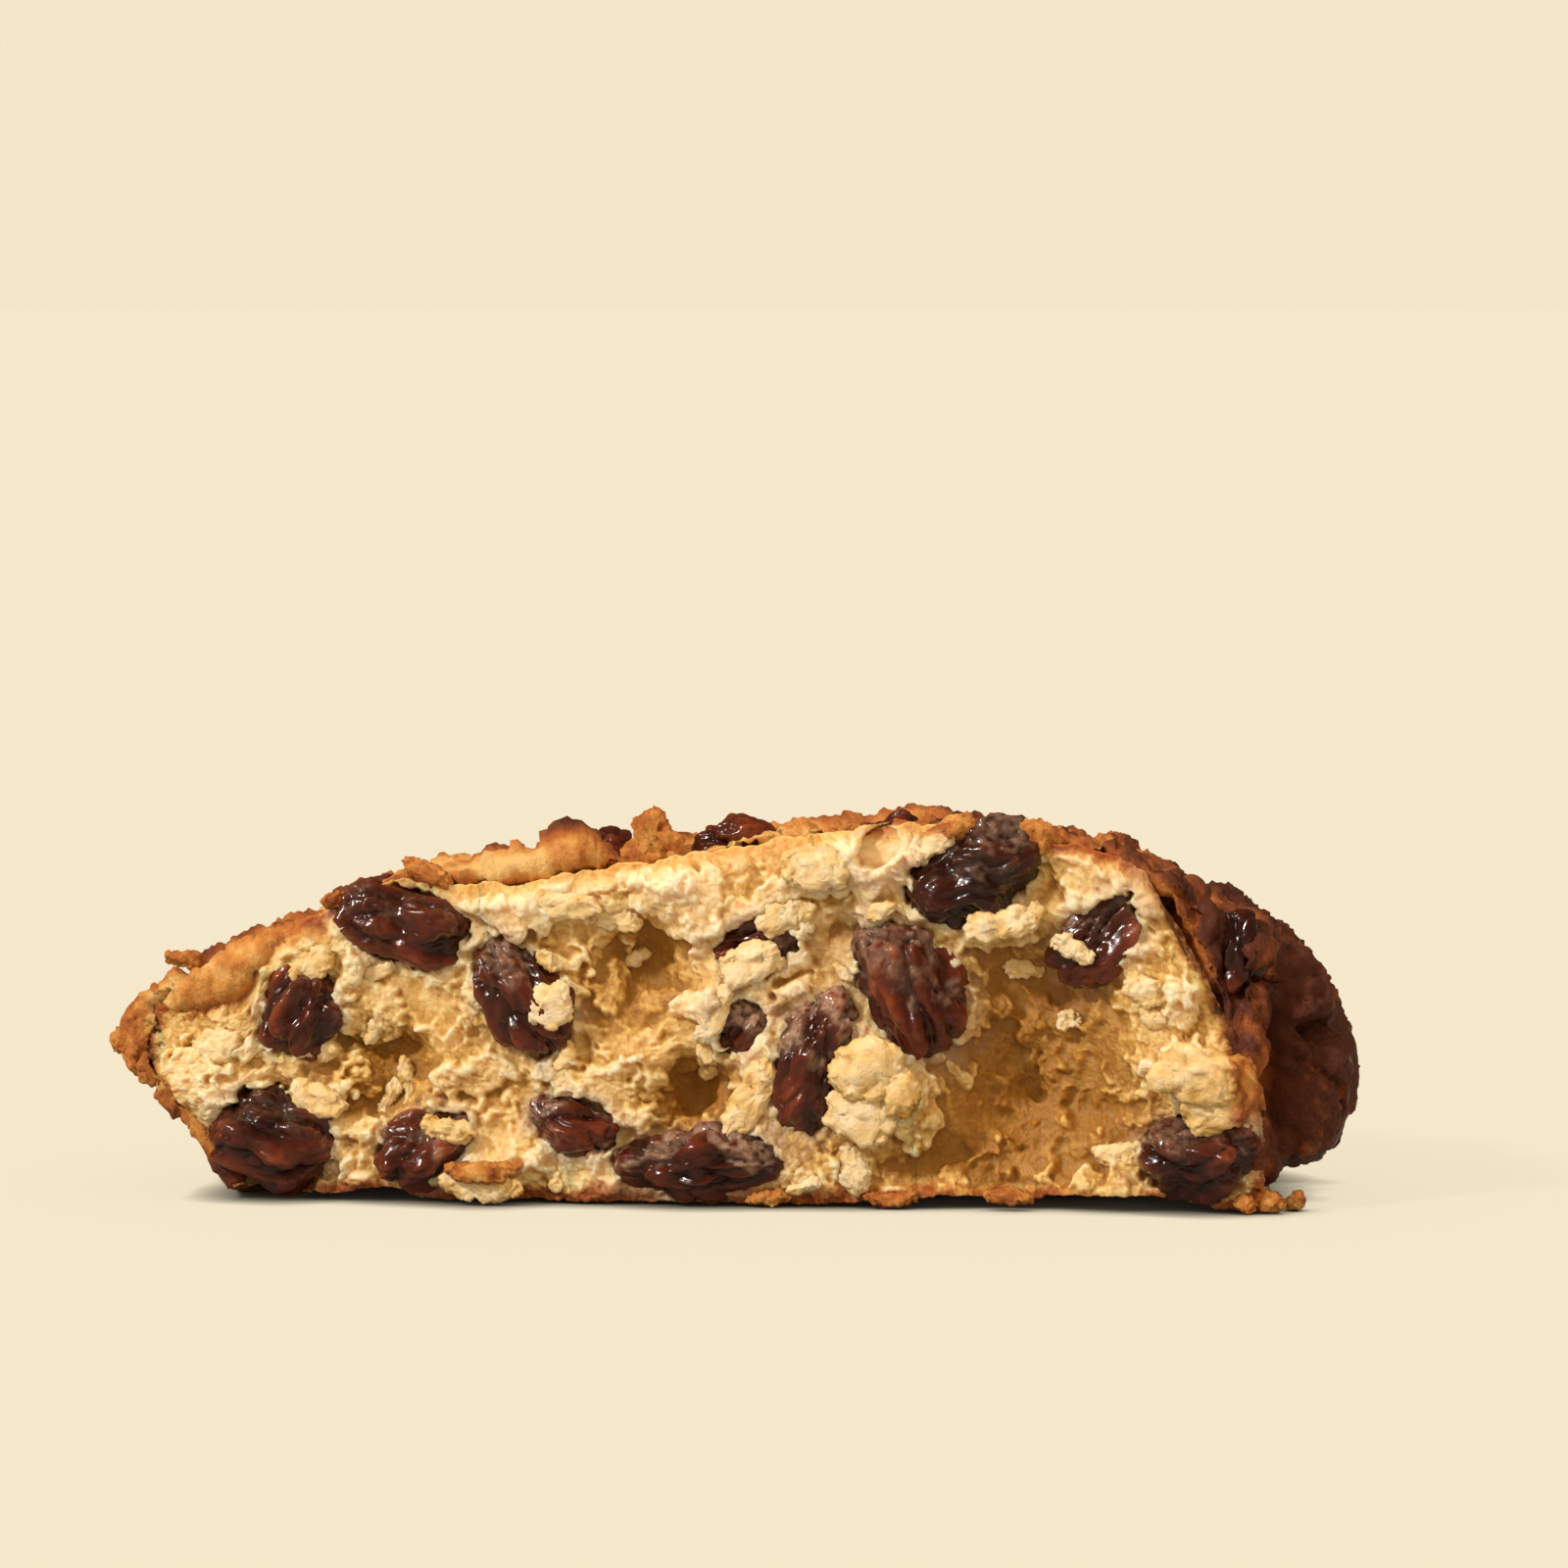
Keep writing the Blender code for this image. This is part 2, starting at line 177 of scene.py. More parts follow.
# ---------------------------------------------------------------------------------------------
# Crust: the baked skin of the dome, rim and underside. Sugar and butter browned in the oven's
# heat, smooth and fine-grained on its lobes, paler in the creases between them.
# ---------------------------------------------------------------------------------------------
def lattice(cells, seed, count):
    """Random numbers from 0 to 1 for whole-number cells, from one table that the seed fills. The
    three coordinates are mixed by large primes into a place in the table."""
    table = np.random.default_rng(seed).random((65536, count), dtype=np.float32)
    place = (cells[..., 0] * 73856093) ^ (cells[..., 1] * 19349663) ^ (cells[..., 2] * 83492791)
    return table[place & 65535]


def soft_noise(points, size, seed):
    """Smooth noise of about -0.7 to 0.7: at the corners of cubes of this size, slopes in random
    directions, blended across each cube by a fifth-power curve."""
    place = points / size
    cell = np.floor(place).astype(np.int64)
    t = place - cell
    fade = t**3 * (t * (t * 6 - 15) + 10)
    total = np.zeros(points.shape[:-1])
    for corner in product((0, 1), repeat=3):
        corner = np.array(corner)
        weight = np.prod(np.where(corner == 1, fade, 1 - fade), axis=-1)
        slope = 2 * lattice(cell + corner, seed, 3) - 1
        total += weight * np.sum(slope * (t - corner), axis=-1)
    return total


def layered_noise(points, size, seed, layers, gain=0.5):
    """Noise on noise: each layer is half the size of the one before, and gain times as high."""
    return sum(soft_noise(points, size / 2**k, seed + k) * gain**k for k in range(layers))


def shifted_noise(points, size, seed, layers=1):
    """Three unlike noises, as a vector to bend a pattern with."""
    return np.stack([layered_noise(points + s, size, seed, layers) for s in (0, 40, 80)], axis=-1)


def clods(points, size, seed, near=False):
    """Cells like packed crumbs. Gives the way from the nearest cell's middle, how much further the
    next middle is, and the nearest cell's own random number. It looks in the 27 cells about a
    point, or for fine grain in the 8 nearest."""
    place = points / size
    cell = np.floor(place - 0.5 * near).astype(np.int64)
    nearest = np.full(points.shape[:-1], 9.0)
    second = nearest.copy()
    way = np.zeros(points.shape)
    luck = np.zeros(points.shape[:-1])
    for step in product((0, 1) if near else (-1, 0, 1), repeat=3):
        draw = lattice(cell + np.array(step), seed, 4)
        away = place - (cell + np.array(step) + draw[..., :3])
        distance = np.linalg.norm(away, axis=-1)
        closer = distance < nearest
        second = np.where(closer, nearest, np.minimum(second, distance))
        nearest = np.where(closer, distance, nearest)
        way = np.where(closer[..., None], away, way)
        luck = np.where(closer, draw[..., 3], luck)
    return way * size, (second - nearest) * size, luck


def grid_normals(points):
    """The unit cross product of the steps along the two directions of a grid."""
    normal = np.cross(np.gradient(points, axis=-3), np.gradient(points, axis=-2))
    return normal / np.maximum(np.linalg.norm(normal, axis=-1, keepdims=True), 1e-9)


def closed_skin(name, rings, tips, values):
    """Closed bodies in one mesh. rings is bodies x rings x points x 3: quads join each ring to the
    next, and fans join the end rings to the two tips. values are per-point numbers for the
    material. The bake map gives each body a square tile, laid out ring by ring."""
    bodies, count, around, _ = rings.shape
    body = np.arange(bodies)[:, None, None] * count * around
    ring = np.arange(count - 1)[None, :, None] * around
    here = np.arange(around)[None, None, :]
    following = (here + 1) % around
    a, b = body + ring + here, body + ring + following
    quads = np.stack(np.broadcast_arrays(a, b, b + around, a + around), axis=-1).reshape(-1, 4)
    tip = bodies * count * around + 2 * np.arange(bodies)[:, None]
    start, end = body[:, 0], body[:, 0] + (count - 1) * around
    here, following = here[0], following[0]
    fans = np.concatenate([
        np.stack(np.broadcast_arrays(tip, start + following, start + here), axis=-1).reshape(-1, 3),
        np.stack(np.broadcast_arrays(tip + 1, end + here, end + following), axis=-1).reshape(-1, 3),
    ])
    mesh = bpy.data.meshes.new(name)
    places = np.concatenate([rings.reshape(-1, 3), tips.reshape(-1, 3)]) * MM + PLACE
    mesh.vertices.add(len(places))
    mesh.vertices.foreach_set("co", places.astype(np.float32).ravel())
    corners = np.concatenate([quads.ravel(), fans.ravel()])
    sizes = np.concatenate([np.full(len(quads), 4), np.full(len(fans), 3)])
    mesh.loops.add(len(corners))
    mesh.loops.foreach_set("vertex_index", corners.astype(np.int32))
    mesh.polygons.add(len(sizes))
    mesh.polygons.foreach_set("loop_start", (np.cumsum(sizes) - sizes).astype(np.int32))
    mesh.polygons.foreach_set("loop_total", sizes.astype(np.int32))
    mesh.polygons.foreach_set("use_smooth", np.ones(len(sizes), dtype=bool))
    mesh.update(calc_edges=True)

    per_side = math.ceil(math.sqrt(bodies))
    tile = np.arange(bodies)
    tile_corner = np.stack([tile % per_side, tile // per_side], axis=-1) / per_side
    u = np.broadcast_to(np.arange(around)[None, :], (count - 1, around))
    v = np.broadcast_to(np.arange(count - 1)[:, None], (count - 1, around))
    steps = ((0, 0), (1, 0), (1, 1), (0, 1))
    quad_uv = np.stack([np.stack([u + du, v + dv + 1], axis=-1) for du, dv in steps], axis=2)
    half = np.stack([np.arange(around) + 0.5, np.zeros(around)], axis=-1)
    first_uv = np.stack([half, half + [0.5, 1.0], half + [-0.5, 1.0]], axis=1)
    last_uv = np.stack([half + [0, count + 1], half + [-0.5, count], half + [0.5, count]], axis=1)
    scale = np.array([around, count + 1]) * per_side / 0.96
    margin = 0.02 / per_side

    def in_tiles(uv):
        flat = uv.reshape(1, -1, 2) / scale + margin + tile_corner[:, None, :]
        return flat.reshape(-1, 2)

    uv = np.concatenate([in_tiles(quad_uv), in_tiles(first_uv), in_tiles(last_uv)])
    layer = mesh.uv_layers.new(name="OFBake")
    layer.data.foreach_set("uv", uv.astype(np.float32).ravel())
    for key, value in values.items():
        at_tips = np.stack([value[:, 0].mean(axis=-1), value[:, -1].mean(axis=-1)], axis=-1)
        all_values = np.concatenate([value.ravel(), at_tips.ravel()]).astype(np.float32)
        mesh.attributes.new(key, "FLOAT", "POINT").data.foreach_set("value", all_values)
    obj = bpy.data.objects.new(name, mesh)
    bpy.context.scene.collection.objects.link(obj)
    return obj


def colour(hex_code):
    """An sRGB hex code as linear red, green, blue and alpha."""
    parts = [int(hex_code[i:i + 2], 16) / 255 for i in (1, 3, 5)]
    return [p / 12.92 if p <= 0.04045 else ((p + 0.055) / 1.055) ** 2.4 for p in parts] + [1.0]


def add_node(material, kind, settings=None, **links):
    """Adds a node. settings sets its properties and the sockets it names, and each link joins a
    socket of another node to the input of the same name, with _ for a space."""
    tree = material.node_tree
    node = tree.nodes.new(kind)
    for key, value in (settings or {}).items():
        if isinstance(key, str) and hasattr(node, key):
            setattr(node, key, value)
        else:
            node.inputs[key].default_value = value
    for key, source in links.items():
        name = key.replace("_", " ")
        tree.links.new(source, node.inputs[int(name[1:]) if name[1:].isdigit() else name])
    return node


def new_material(name, settings):
    """A material with one Principled shader, and its settings."""
    material = bpy.data.materials.new(name)
    material.use_nodes = True
    shader = material.node_tree.nodes["Principled BSDF"]
    for key, value in settings.items():
        shader.inputs[key].default_value = value
    return material, shader


def add_ramp(material, source, stops):
    """A colour ramp through the stops, each a place from 0 to 1 and a hex code."""
    node = add_node(material, "ShaderNodeValToRGB", Fac=source)
    elements = node.color_ramp.elements
    while len(elements) < len(stops):
        elements.new(0.5)
    for element, (place, code) in zip(elements, stops):
        element.position = place
        element.color = colour(code)
    return node.outputs["Color"]


def raisin_axes(node):
    """A raisin's middle, its three directions from longest to thinnest, and its half sizes."""
    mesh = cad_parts[node].data
    places = np.empty(len(mesh.vertices) * 3)
    mesh.vertices.foreach_get("co", places)
    places = np.unique(np.round(places.reshape(-1, 3), 7), axis=0)
    places = (places - PLACE) / MM
    _, _, axes = np.linalg.svd(places - places.mean(axis=0))
    axes[2] = np.cross(axes[0], axes[1])
    along = places @ axes.T
    low, high = along.min(axis=0), along.max(axis=0)
    return (low + high) / 2 @ axes, axes, (high - low) / 2


raisin_nodes = sorted(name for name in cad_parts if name.startswith("raisin_"))
raisins = [raisin_axes(node) for node in raisin_nodes]


def raisin_depth(points, raisin):
    """How deep in a raisin a point is: 0 at its middle, 1 at its skin and more outside it."""
    middle, axes, half_sizes = raisin
    return np.linalg.norm((points - middle) @ axes.T / half_sizes, axis=-1)


CRUST_COLUMNS = 400
CRUST_FACE, CRUST_DOME, CRUST_RIM, CRUST_BASE = 40, 118, 46, 36
BEHIND_CRUMB, LOBES_SINK, EDGE_SOFTENING = 10.0, 1.9, 8
CRUST_KNOBS = (
    (-14.2, 2.4, 32.2, 2.4, 1.5), (-19.5, 3.0, 29.8, 3.0, 0.9), (-50.8, 2.5, 18.4, 4.0, 1.3),
    (-43.0, 2.0, 23.6, 5.5, 1.2), (-54.8, 3.6, 11.5, 3.0, 0.7), (52.6, 8.5, 20.6, 4.0, 1.4),
    (54.0, 10.0, 9.5, 5.0, 0.6), (48.4, 4.0, 25.4, 3.2, 1.6), (48.0, 1.4, 14.0, 2.4, 0.9),
    (48.4, 2.0, 5.0, 2.6, 1.2), (33.5, 3.0, 32.6, 4.0, 0.6),
)
CRUST_SLITS = (
    (50.0, 4.0, 12.5, 1.0, 5.0, 9.0, 4.6), (54.4, 11.0, 15.9, 4.0, 7.0, 1.0, 7.0),
    (45.6, 1.0, 22.8, 1.3, 4.0, 4.2, 4.5), (48.6, 3.0, 21.0, 3.4, 3.0, 0.8, 2.4),
    (41.5, 2.0, 27.5, 1.0, 3.0, 2.0, 1.6), (-48.6, 3.0, 21.2, 1.0, 5.0, 1.2, 1.2),
    (38.4, 3.0, 31.4, 1.0, 4.0, 2.0, 1.2),
)
BASE_GAPS = ((-41.5, 4.2, 1.3), (-31.0, 3.0, 1.0), (20.0, 7.0, 0.8), (31.0, 8.0, 0.9), (38.5, 4.0, 0.9))
BROWNER = (
    (-14.5, 2.5, 33.0, 4.5, 4.5, 3.5, 0.65), (46.0, 3.0, 26.0, 6.0, 6.0, 6.0, 0.5),
    (-53.0, 3.0, 12.0, 3.0, 4.0, 5.0, 0.3),
)
PALER = (
    (-43.0, 1.0, 22.5, 6.0, 3.0, 4.0, 0.42), (6.0, 0.0, 33.5, 14.0, 4.0, 3.0, 0.42),
    (-14.0, 0.0, 30.5, 16.0, 2.0, 2.0, 0.3),
)


def bells_in_space(points, shapes):
    """The sum of round bells in space, each given by its middle, its three radii and its height."""
    height = np.zeros(points.shape[:-1])
    for *middle, radius_x, radius_y, radius_z, rise in shapes:
        away = (points - np.array(middle)) / np.array([radius_x, radius_y, radius_z])
        height += rise * np.exp(-np.sum(away**2, axis=-1))
    return height


def creased_lobes(points, size, seed, height, radius, crease, width, least):
    """Round lobes, one to a cell of this size, each of its own height down to the least part of
    the full one, with a crease where two cells meet."""
    way, gap, luck = clods(points, size, seed)
    lobe = np.sqrt(np.clip(1 - np.sum(way**2, axis=-1) / radius**2, 0, 1)) * (least + (1 - least) * luck)
    return height * lobe - crease * np.exp(-((gap / width) ** 2))


sweep = np.linspace(0, math.pi, CRUST_COLUMNS + 2)[1:-1]
crust_x = ((LEFT + RIGHT) / 2 - (RIGHT - LEFT) / 2 * np.cos(sweep))[:, None]
front, back, top, base, _, lean = section_sizes(crust_x)
_, edge_z = dome_point(crust_x, 0.0)
face_z = base + (edge_z - base) * np.linspace(0, 1, CRUST_FACE, endpoint=False)[None, :]
on_face = np.stack(np.broadcast_arrays(crust_x, 0.0, face_z), axis=-1)
torn_edge = crumb_margin(crust_x, face_z) + 1.2 * layered_noise(on_face, 3.0, 23, 4, gain=0.6)
face_y = front + BEHIND_CRUMB * ramp(torn_edge, 0.4, 3.0)
dome_y, dome_z = dome_point(crust_x, np.linspace(0, math.pi / 2, CRUST_DOME, endpoint=False)[None, :])
rim_y, rim_z = rim_point(crust_x, np.linspace(0, 1, CRUST_RIM, endpoint=False)[None, :])
inward = np.linspace(0, 1, CRUST_BASE, endpoint=False)[None, :]
base_y = (back - lean) + (face_y[:, :1] - back + lean) * inward
crust_y = np.concatenate([face_y, dome_y, rim_y, base_y], axis=1)
crust_z = np.concatenate([face_z, dome_z, rim_z, np.broadcast_to(base, base_y.shape)], axis=1)
crust = np.stack([np.broadcast_to(crust_x, crust_y.shape), crust_y, crust_z], axis=-1)
for _ in range(EDGE_SOFTENING):
    crust = (np.roll(crust, 1, axis=1) + 2 * crust + np.roll(crust, -1, axis=1)) / 4
outward = grid_normals(crust)
above_base = ramp(crust[..., 2], 0.3, 5.0)
at_ends = np.maximum(ramp(crust[..., 0], 39.0, 44.0), ramp(-crust[..., 0], 47.0, 49.5))
beside_tear = np.maximum(ramp(crust[..., 1], 0.5, 4.0), at_ends)
from_tips = ramp(np.minimum(crust[..., 0] - LEFT, RIGHT - crust[..., 0]), 0.0, 3.5)
warped = crust + 2.4 * shifted_noise(crust, 6.0, 11, 3)
lobes = creased_lobes(warped, 9.0, 12, height=2.3, radius=7.4, crease=1.0, width=0.8, least=0.5)
lobes += creased_lobes(warped, 3.8, 13, height=0.9, radius=3.0, crease=0.3, width=0.4, least=0.0)
lobes += 0.7 * layered_noise(crust, 2.4, 14, 4, gain=0.6) - LOBES_SINK
relief = lobes * (0.12 + 0.88 * above_base) * (0.3 + 0.7 * beside_tear)
relief += bells_in_space(crust, [(x, y, z, r, r, r, rise) for x, y, z, r, rise in CRUST_KNOBS])
relief -= bells_in_space(crust, CRUST_SLITS)
crust = crust + outward * (relief * (0.15 + 0.85 * from_tips))[..., None]
deep_in = np.min([raisin_depth(crust, raisin) for raisin in raisins], axis=0)
lip = np.exp(-(((deep_in - 1.06) / 0.2) ** 2)) * (0.45 + 1.0 * soft_noise(crust, 2.2, 16))
crust = crust + outward * (lip * above_base)[..., None]
way, gap, luck = clods(crust + 0.3 * soft_noise(crust, 1.2, 18)[..., None], 0.95, 17)
grain = (0.28 * luck - 0.22 * np.exp(-((gap / 0.22) ** 2))) * above_base
grain = grain + 0.34 * layered_noise(crust, 1.4, 19, 3, gain=0.65)
crust = crust + grid_normals(crust) * (grain * (0.3 + 0.7 * from_tips))[..., None]
crust[..., 2] = np.maximum(crust[..., 2], 0.02)
under_front = (1 - ramp(crust[..., 1], 1.5, 7.0)) * (1 - ramp(crust[..., 2], 1.0, 4.0))
gaps = bells(crust[..., 0], 0 * crust[..., 0], [(x, 0, width, 1, height) for x, width, height in BASE_GAPS])
crust[..., 2] += gaps * under_front
browned_and_shaded = 0.42 + 0.26 * (lobes - lobes.mean()) + 0.8 * layered_noise(crust, 9.0, 21, 5, gain=0.62)
# The right end is painted browner, as shade where the sun from the left does not reach it.
browned_and_shaded += 0.45 * ramp(crust[..., 0], 36.0, 49.0) + 0.3 * (1 - above_base)
browned_and_shaded += bells_in_space(crust, BROWNER) + 0.2 * bells_in_space(crust, CRUST_SLITS[:3])
browned_and_shaded -= bells_in_space(crust, PALER)
tips = crust[[0, -1]].mean(axis=1)[None] + [[[-0.2, 0.0, 0.0], [0.2, 0.0, 0.0]]]
crust_piece = closed_skin("crust", crust[None, :, ::-1], tips, {"browned_and_shaded": browned_and_shaded[None, :, ::-1]})

# Baked crust: a dry, browned sugar skin, so it is matt with a slight wax-like sheen on its lobes.
# Its colour runs browner towards the right end as painted shade.
baked_crust, shader = new_material("baked_crust", {
    "Roughness": 0.52, "IOR": 1.45, "Coat Weight": 0.08, "Coat Roughness": 0.35,
})
spot = add_node(baked_crust, "ShaderNodeTexCoord")
browning_and_shade = add_node(baked_crust, "ShaderNodeAttribute", {"attribute_name": "browned_and_shaded"})
speckle = add_node(baked_crust, "ShaderNodeTexNoise", {"Scale": 900.0, "Detail": 6.0, "Roughness": 0.7},
                   Vector=spot.outputs["Object"])
mixed = add_node(baked_crust, "ShaderNodeMath", {"operation": "MULTIPLY_ADD", 1: 0.6},
                 _0=speckle.outputs["Fac"], _2=browning_and_shade.outputs["Fac"])
shifted = add_node(baked_crust, "ShaderNodeMath", {"operation": "SUBTRACT", 1: 0.3}, _0=mixed.outputs[0])
tint = add_ramp(baked_crust, shifted.outputs[0], (
    (0.02, "#F1C57C"), (0.28, "#E19D4C"), (0.5, "#C5742E"), (0.74, "#964C1D"), (1.0, "#602A12"),
))
baked_crust.node_tree.links.new(tint, shader.inputs["Base Color"])
pits = add_node(baked_crust, "ShaderNodeTexNoise", {"Scale": 1800.0, "Detail": 5.0, "Roughness": 0.7},
                Vector=spot.outputs["Object"])
bump = add_node(baked_crust, "ShaderNodeBump", {"Strength": 0.9, "Distance": 0.0006},
                Height=pits.outputs["Fac"])
baked_crust.node_tree.links.new(bump.outputs["Normal"], shader.inputs["Normal"])
crust_piece.data.materials.append(baked_crust)
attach(crust_piece, "root")
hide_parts("dough")

# ---------------------------------------------------------------------------------------------
# Raisins: dried grapes, plumped by the dough and baked in. Each lies where its solid does. Those
# in the broken face have the finer mesh, and dough clings to them as a thin floury film.
# ---------------------------------------------------------------------------------------------
SEEN_RAISINS, FINE_MESH, PLAIN_MESH = 19, (84, 116), (48, 72)
FOLDS = ((3.4, 1.15, 203), (1.8, 0.55, 204), (0.9, 0.22, 205))
FILM = {1: 0.1, 2: 0.1, 3: 0.35, 4: 0.1, 5: 0.3, 6: 0.7, 7: 0.65, 8: 0.4, 9: 1.0, 10: 0.4, 11: 0.75,
        12: 0.3, 13: 0.2, 14: 0.3}
DARKER = {12: 0.3, 18: 0.3, 19: 0.2, 14: 0.1, 7: 0.08, 4: 0.08}


def raisin_outline(x, z, raisin):
    """Seen square on to the broken face: how far a place is from the raisin's middle, 1 at its
    outline, and the depths of its middle and of its skin there. The ellipsoid's quadratic form is
    at its least along Y at the middle depth, and 1 at the skin."""
    middle, axes, half_sizes = raisin
    form = axes.T @ np.diag(half_sizes**-2.0) @ axes
    dx, dz = x - middle[0], z - middle[2]
    cross = form[1, 0] * dx + form[1, 2] * dz
    flat = form[0, 0] * dx**2 + 2 * form[0, 2] * dx * dz + form[2, 2] * dz**2
    least = np.maximum(flat - cross**2 / form[1, 1], 0.0)
    centre = middle[1] - cross / form[1, 1]
    return np.sqrt(least), centre, centre - np.sqrt(np.maximum(1 - least, 0.0) / form[1, 1])


def raisin_skin_points(half_sizes, seed, rings, around):
    """A stretched ball, dented by slow noise, with folds on it: the skin is pinched in where noise
    is near nought and full between the pinches, and thin creases stand up where a second noise is
    near nought. The noise is stretched along the raisin and bent by another."""
    lean = (np.linspace(0, math.pi, rings + 2)[1:-1])[:, None]
    turn = np.linspace(0, 2 * math.pi, around, endpoint=False)[None, :]
    ring = np.sin(lean)
    ball = np.stack(np.broadcast_arrays(-np.cos(lean), ring * np.cos(turn), ring * np.sin(turn)), axis=-1)
    points = np.sign(ball) * np.abs(ball) ** 0.9 * half_sizes
    shift = seed * 17.3
    points = points + ball * (1.5 * soft_noise(points + shift, 4.6, 201))[..., None]
    place = points * [0.45, 1.0, 1.0] + shift
    place = place + 0.9 * shifted_noise(place, 3.0, 202)
    folds = np.zeros(points.shape[:-1])
    for size, height, layer in FOLDS:
        folds += height * (np.minimum(np.abs(soft_noise(place, size, layer)) * 3.0, 1.0) ** 0.7 - 0.75)
    folds += 0.22 * np.maximum(1 - np.abs(soft_noise(place, 1.5, 207)) * 6.0, 0.0)
    points = points + ball * (folds * (0.4 + 0.6 * ring))[..., None]
    return points, folds


# Raisin skin: thin, waxy and sticky with its own sugar, nearly black in its folds and brown-red
# where it is stretched, with small sharp highlights. The black of the folds is partly the skin's
# own tone and partly painted shade. The film is flour and sugar, grey and dull.
raisin_skin, shader = new_material("raisin_skin", {
    "IOR": 1.42, "Coat Weight": 0.5, "Coat Roughness": 0.1, "Subsurface Weight": 0.2,
    "Subsurface Scale": 0.0015, "Subsurface Radius": (1.0, 0.2, 0.06),
})
spot = add_node(raisin_skin, "ShaderNodeTexCoord")
fullness_and_fold_shade = add_node(raisin_skin, "ShaderNodeAttribute", {"attribute_name": "fullness_and_fold_shade"})
clouding = add_node(raisin_skin, "ShaderNodeTexNoise", {"Scale": 330.0, "Detail": 4.0, "Roughness": 0.6},
                    Vector=spot.outputs["Object"])
mixed = add_node(raisin_skin, "ShaderNodeMath", {"operation": "MULTIPLY_ADD", 1: 0.9},
                 _0=clouding.outputs["Fac"], _2=fullness_and_fold_shade.outputs["Fac"])
shifted = add_node(raisin_skin, "ShaderNodeMath", {"operation": "SUBTRACT", 1: 0.45}, _0=mixed.outputs[0])
tint = add_ramp(raisin_skin, shifted.outputs[0], (
    (0.0, "#260703"), (0.3, "#431508"), (0.6, "#632611"), (0.82, "#8A421D"), (1.0, "#BD7334"),
))
film = add_node(raisin_skin, "ShaderNodeAttribute", {"attribute_name": "film"})
filmed = add_node(raisin_skin, "ShaderNodeMix", {"data_type": "RGBA", 7: colour("#B4937C")},
                  Factor=film.outputs["Fac"])
raisin_skin.node_tree.links.new(tint, filmed.inputs[6])
raisin_skin.node_tree.links.new(filmed.outputs[2], shader.inputs["Base Color"])
dullness = add_node(raisin_skin, "ShaderNodeMapRange", {"To Min": 0.26, "To Max": 0.45},
                    Value=film.outputs["Fac"])
raisin_skin.node_tree.links.new(dullness.outputs[0], shader.inputs["Roughness"])
wrinkle = add_node(raisin_skin, "ShaderNodeTexNoise", {"Scale": 1900.0, "Detail": 3.0, "Roughness": 0.6},
                   Vector=spot.outputs["Object"])
frosting = add_node(raisin_skin, "ShaderNodeMath", {"operation": "ADD", 1: 0.3}, _0=film.outputs["Fac"])
roughened = add_node(raisin_skin, "ShaderNodeMath", {"operation": "MULTIPLY"},
                     _0=wrinkle.outputs["Fac"], _1=frosting.outputs[0])
bump = add_node(raisin_skin, "ShaderNodeBump", {"Strength": 0.8, "Distance": 0.0003},
                Height=roughened.outputs[0])
raisin_skin.node_tree.links.new(bump.outputs["Normal"], shader.inputs["Normal"])

for number, (node, raisin) in enumerate(zip(raisin_nodes, raisins), start=1):
    middle, axes, half_sizes = raisin
    rings, around = FINE_MESH if number <= SEEN_RAISINS else PLAIN_MESH
    points, folds = raisin_skin_points(half_sizes, number, rings, around)
    points = points @ axes + middle
    ends = points[[0, -1]].mean(axis=1)
    patches = layered_noise(points, 3.0, 211, 3) + 0.12 * (points[..., 2] - middle[2])
    film_here = FILM.get(number, 0.0) * ramp(patches, 0.05, 0.4)
    film_here = np.clip(film_here * (0.6 + 1.6 * layered_noise(points, 0.7, 212, 3)), 0, 1)
    # Darker where the folds pinch in: partly the skin's own tone, partly painted shade.
    fullness_and_fold_shade_here = 0.5 + 0.4 * folds - DARKER.get(number, 0.0)
    piece = closed_skin(f"raisin_skin_{number:02d}", points[None], ends[None], {
        "fullness_and_fold_shade": fullness_and_fold_shade_here[None], "film": film_here[None],
    })
    piece.data.materials.append(raisin_skin)
    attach(piece, "root")
    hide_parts(node)

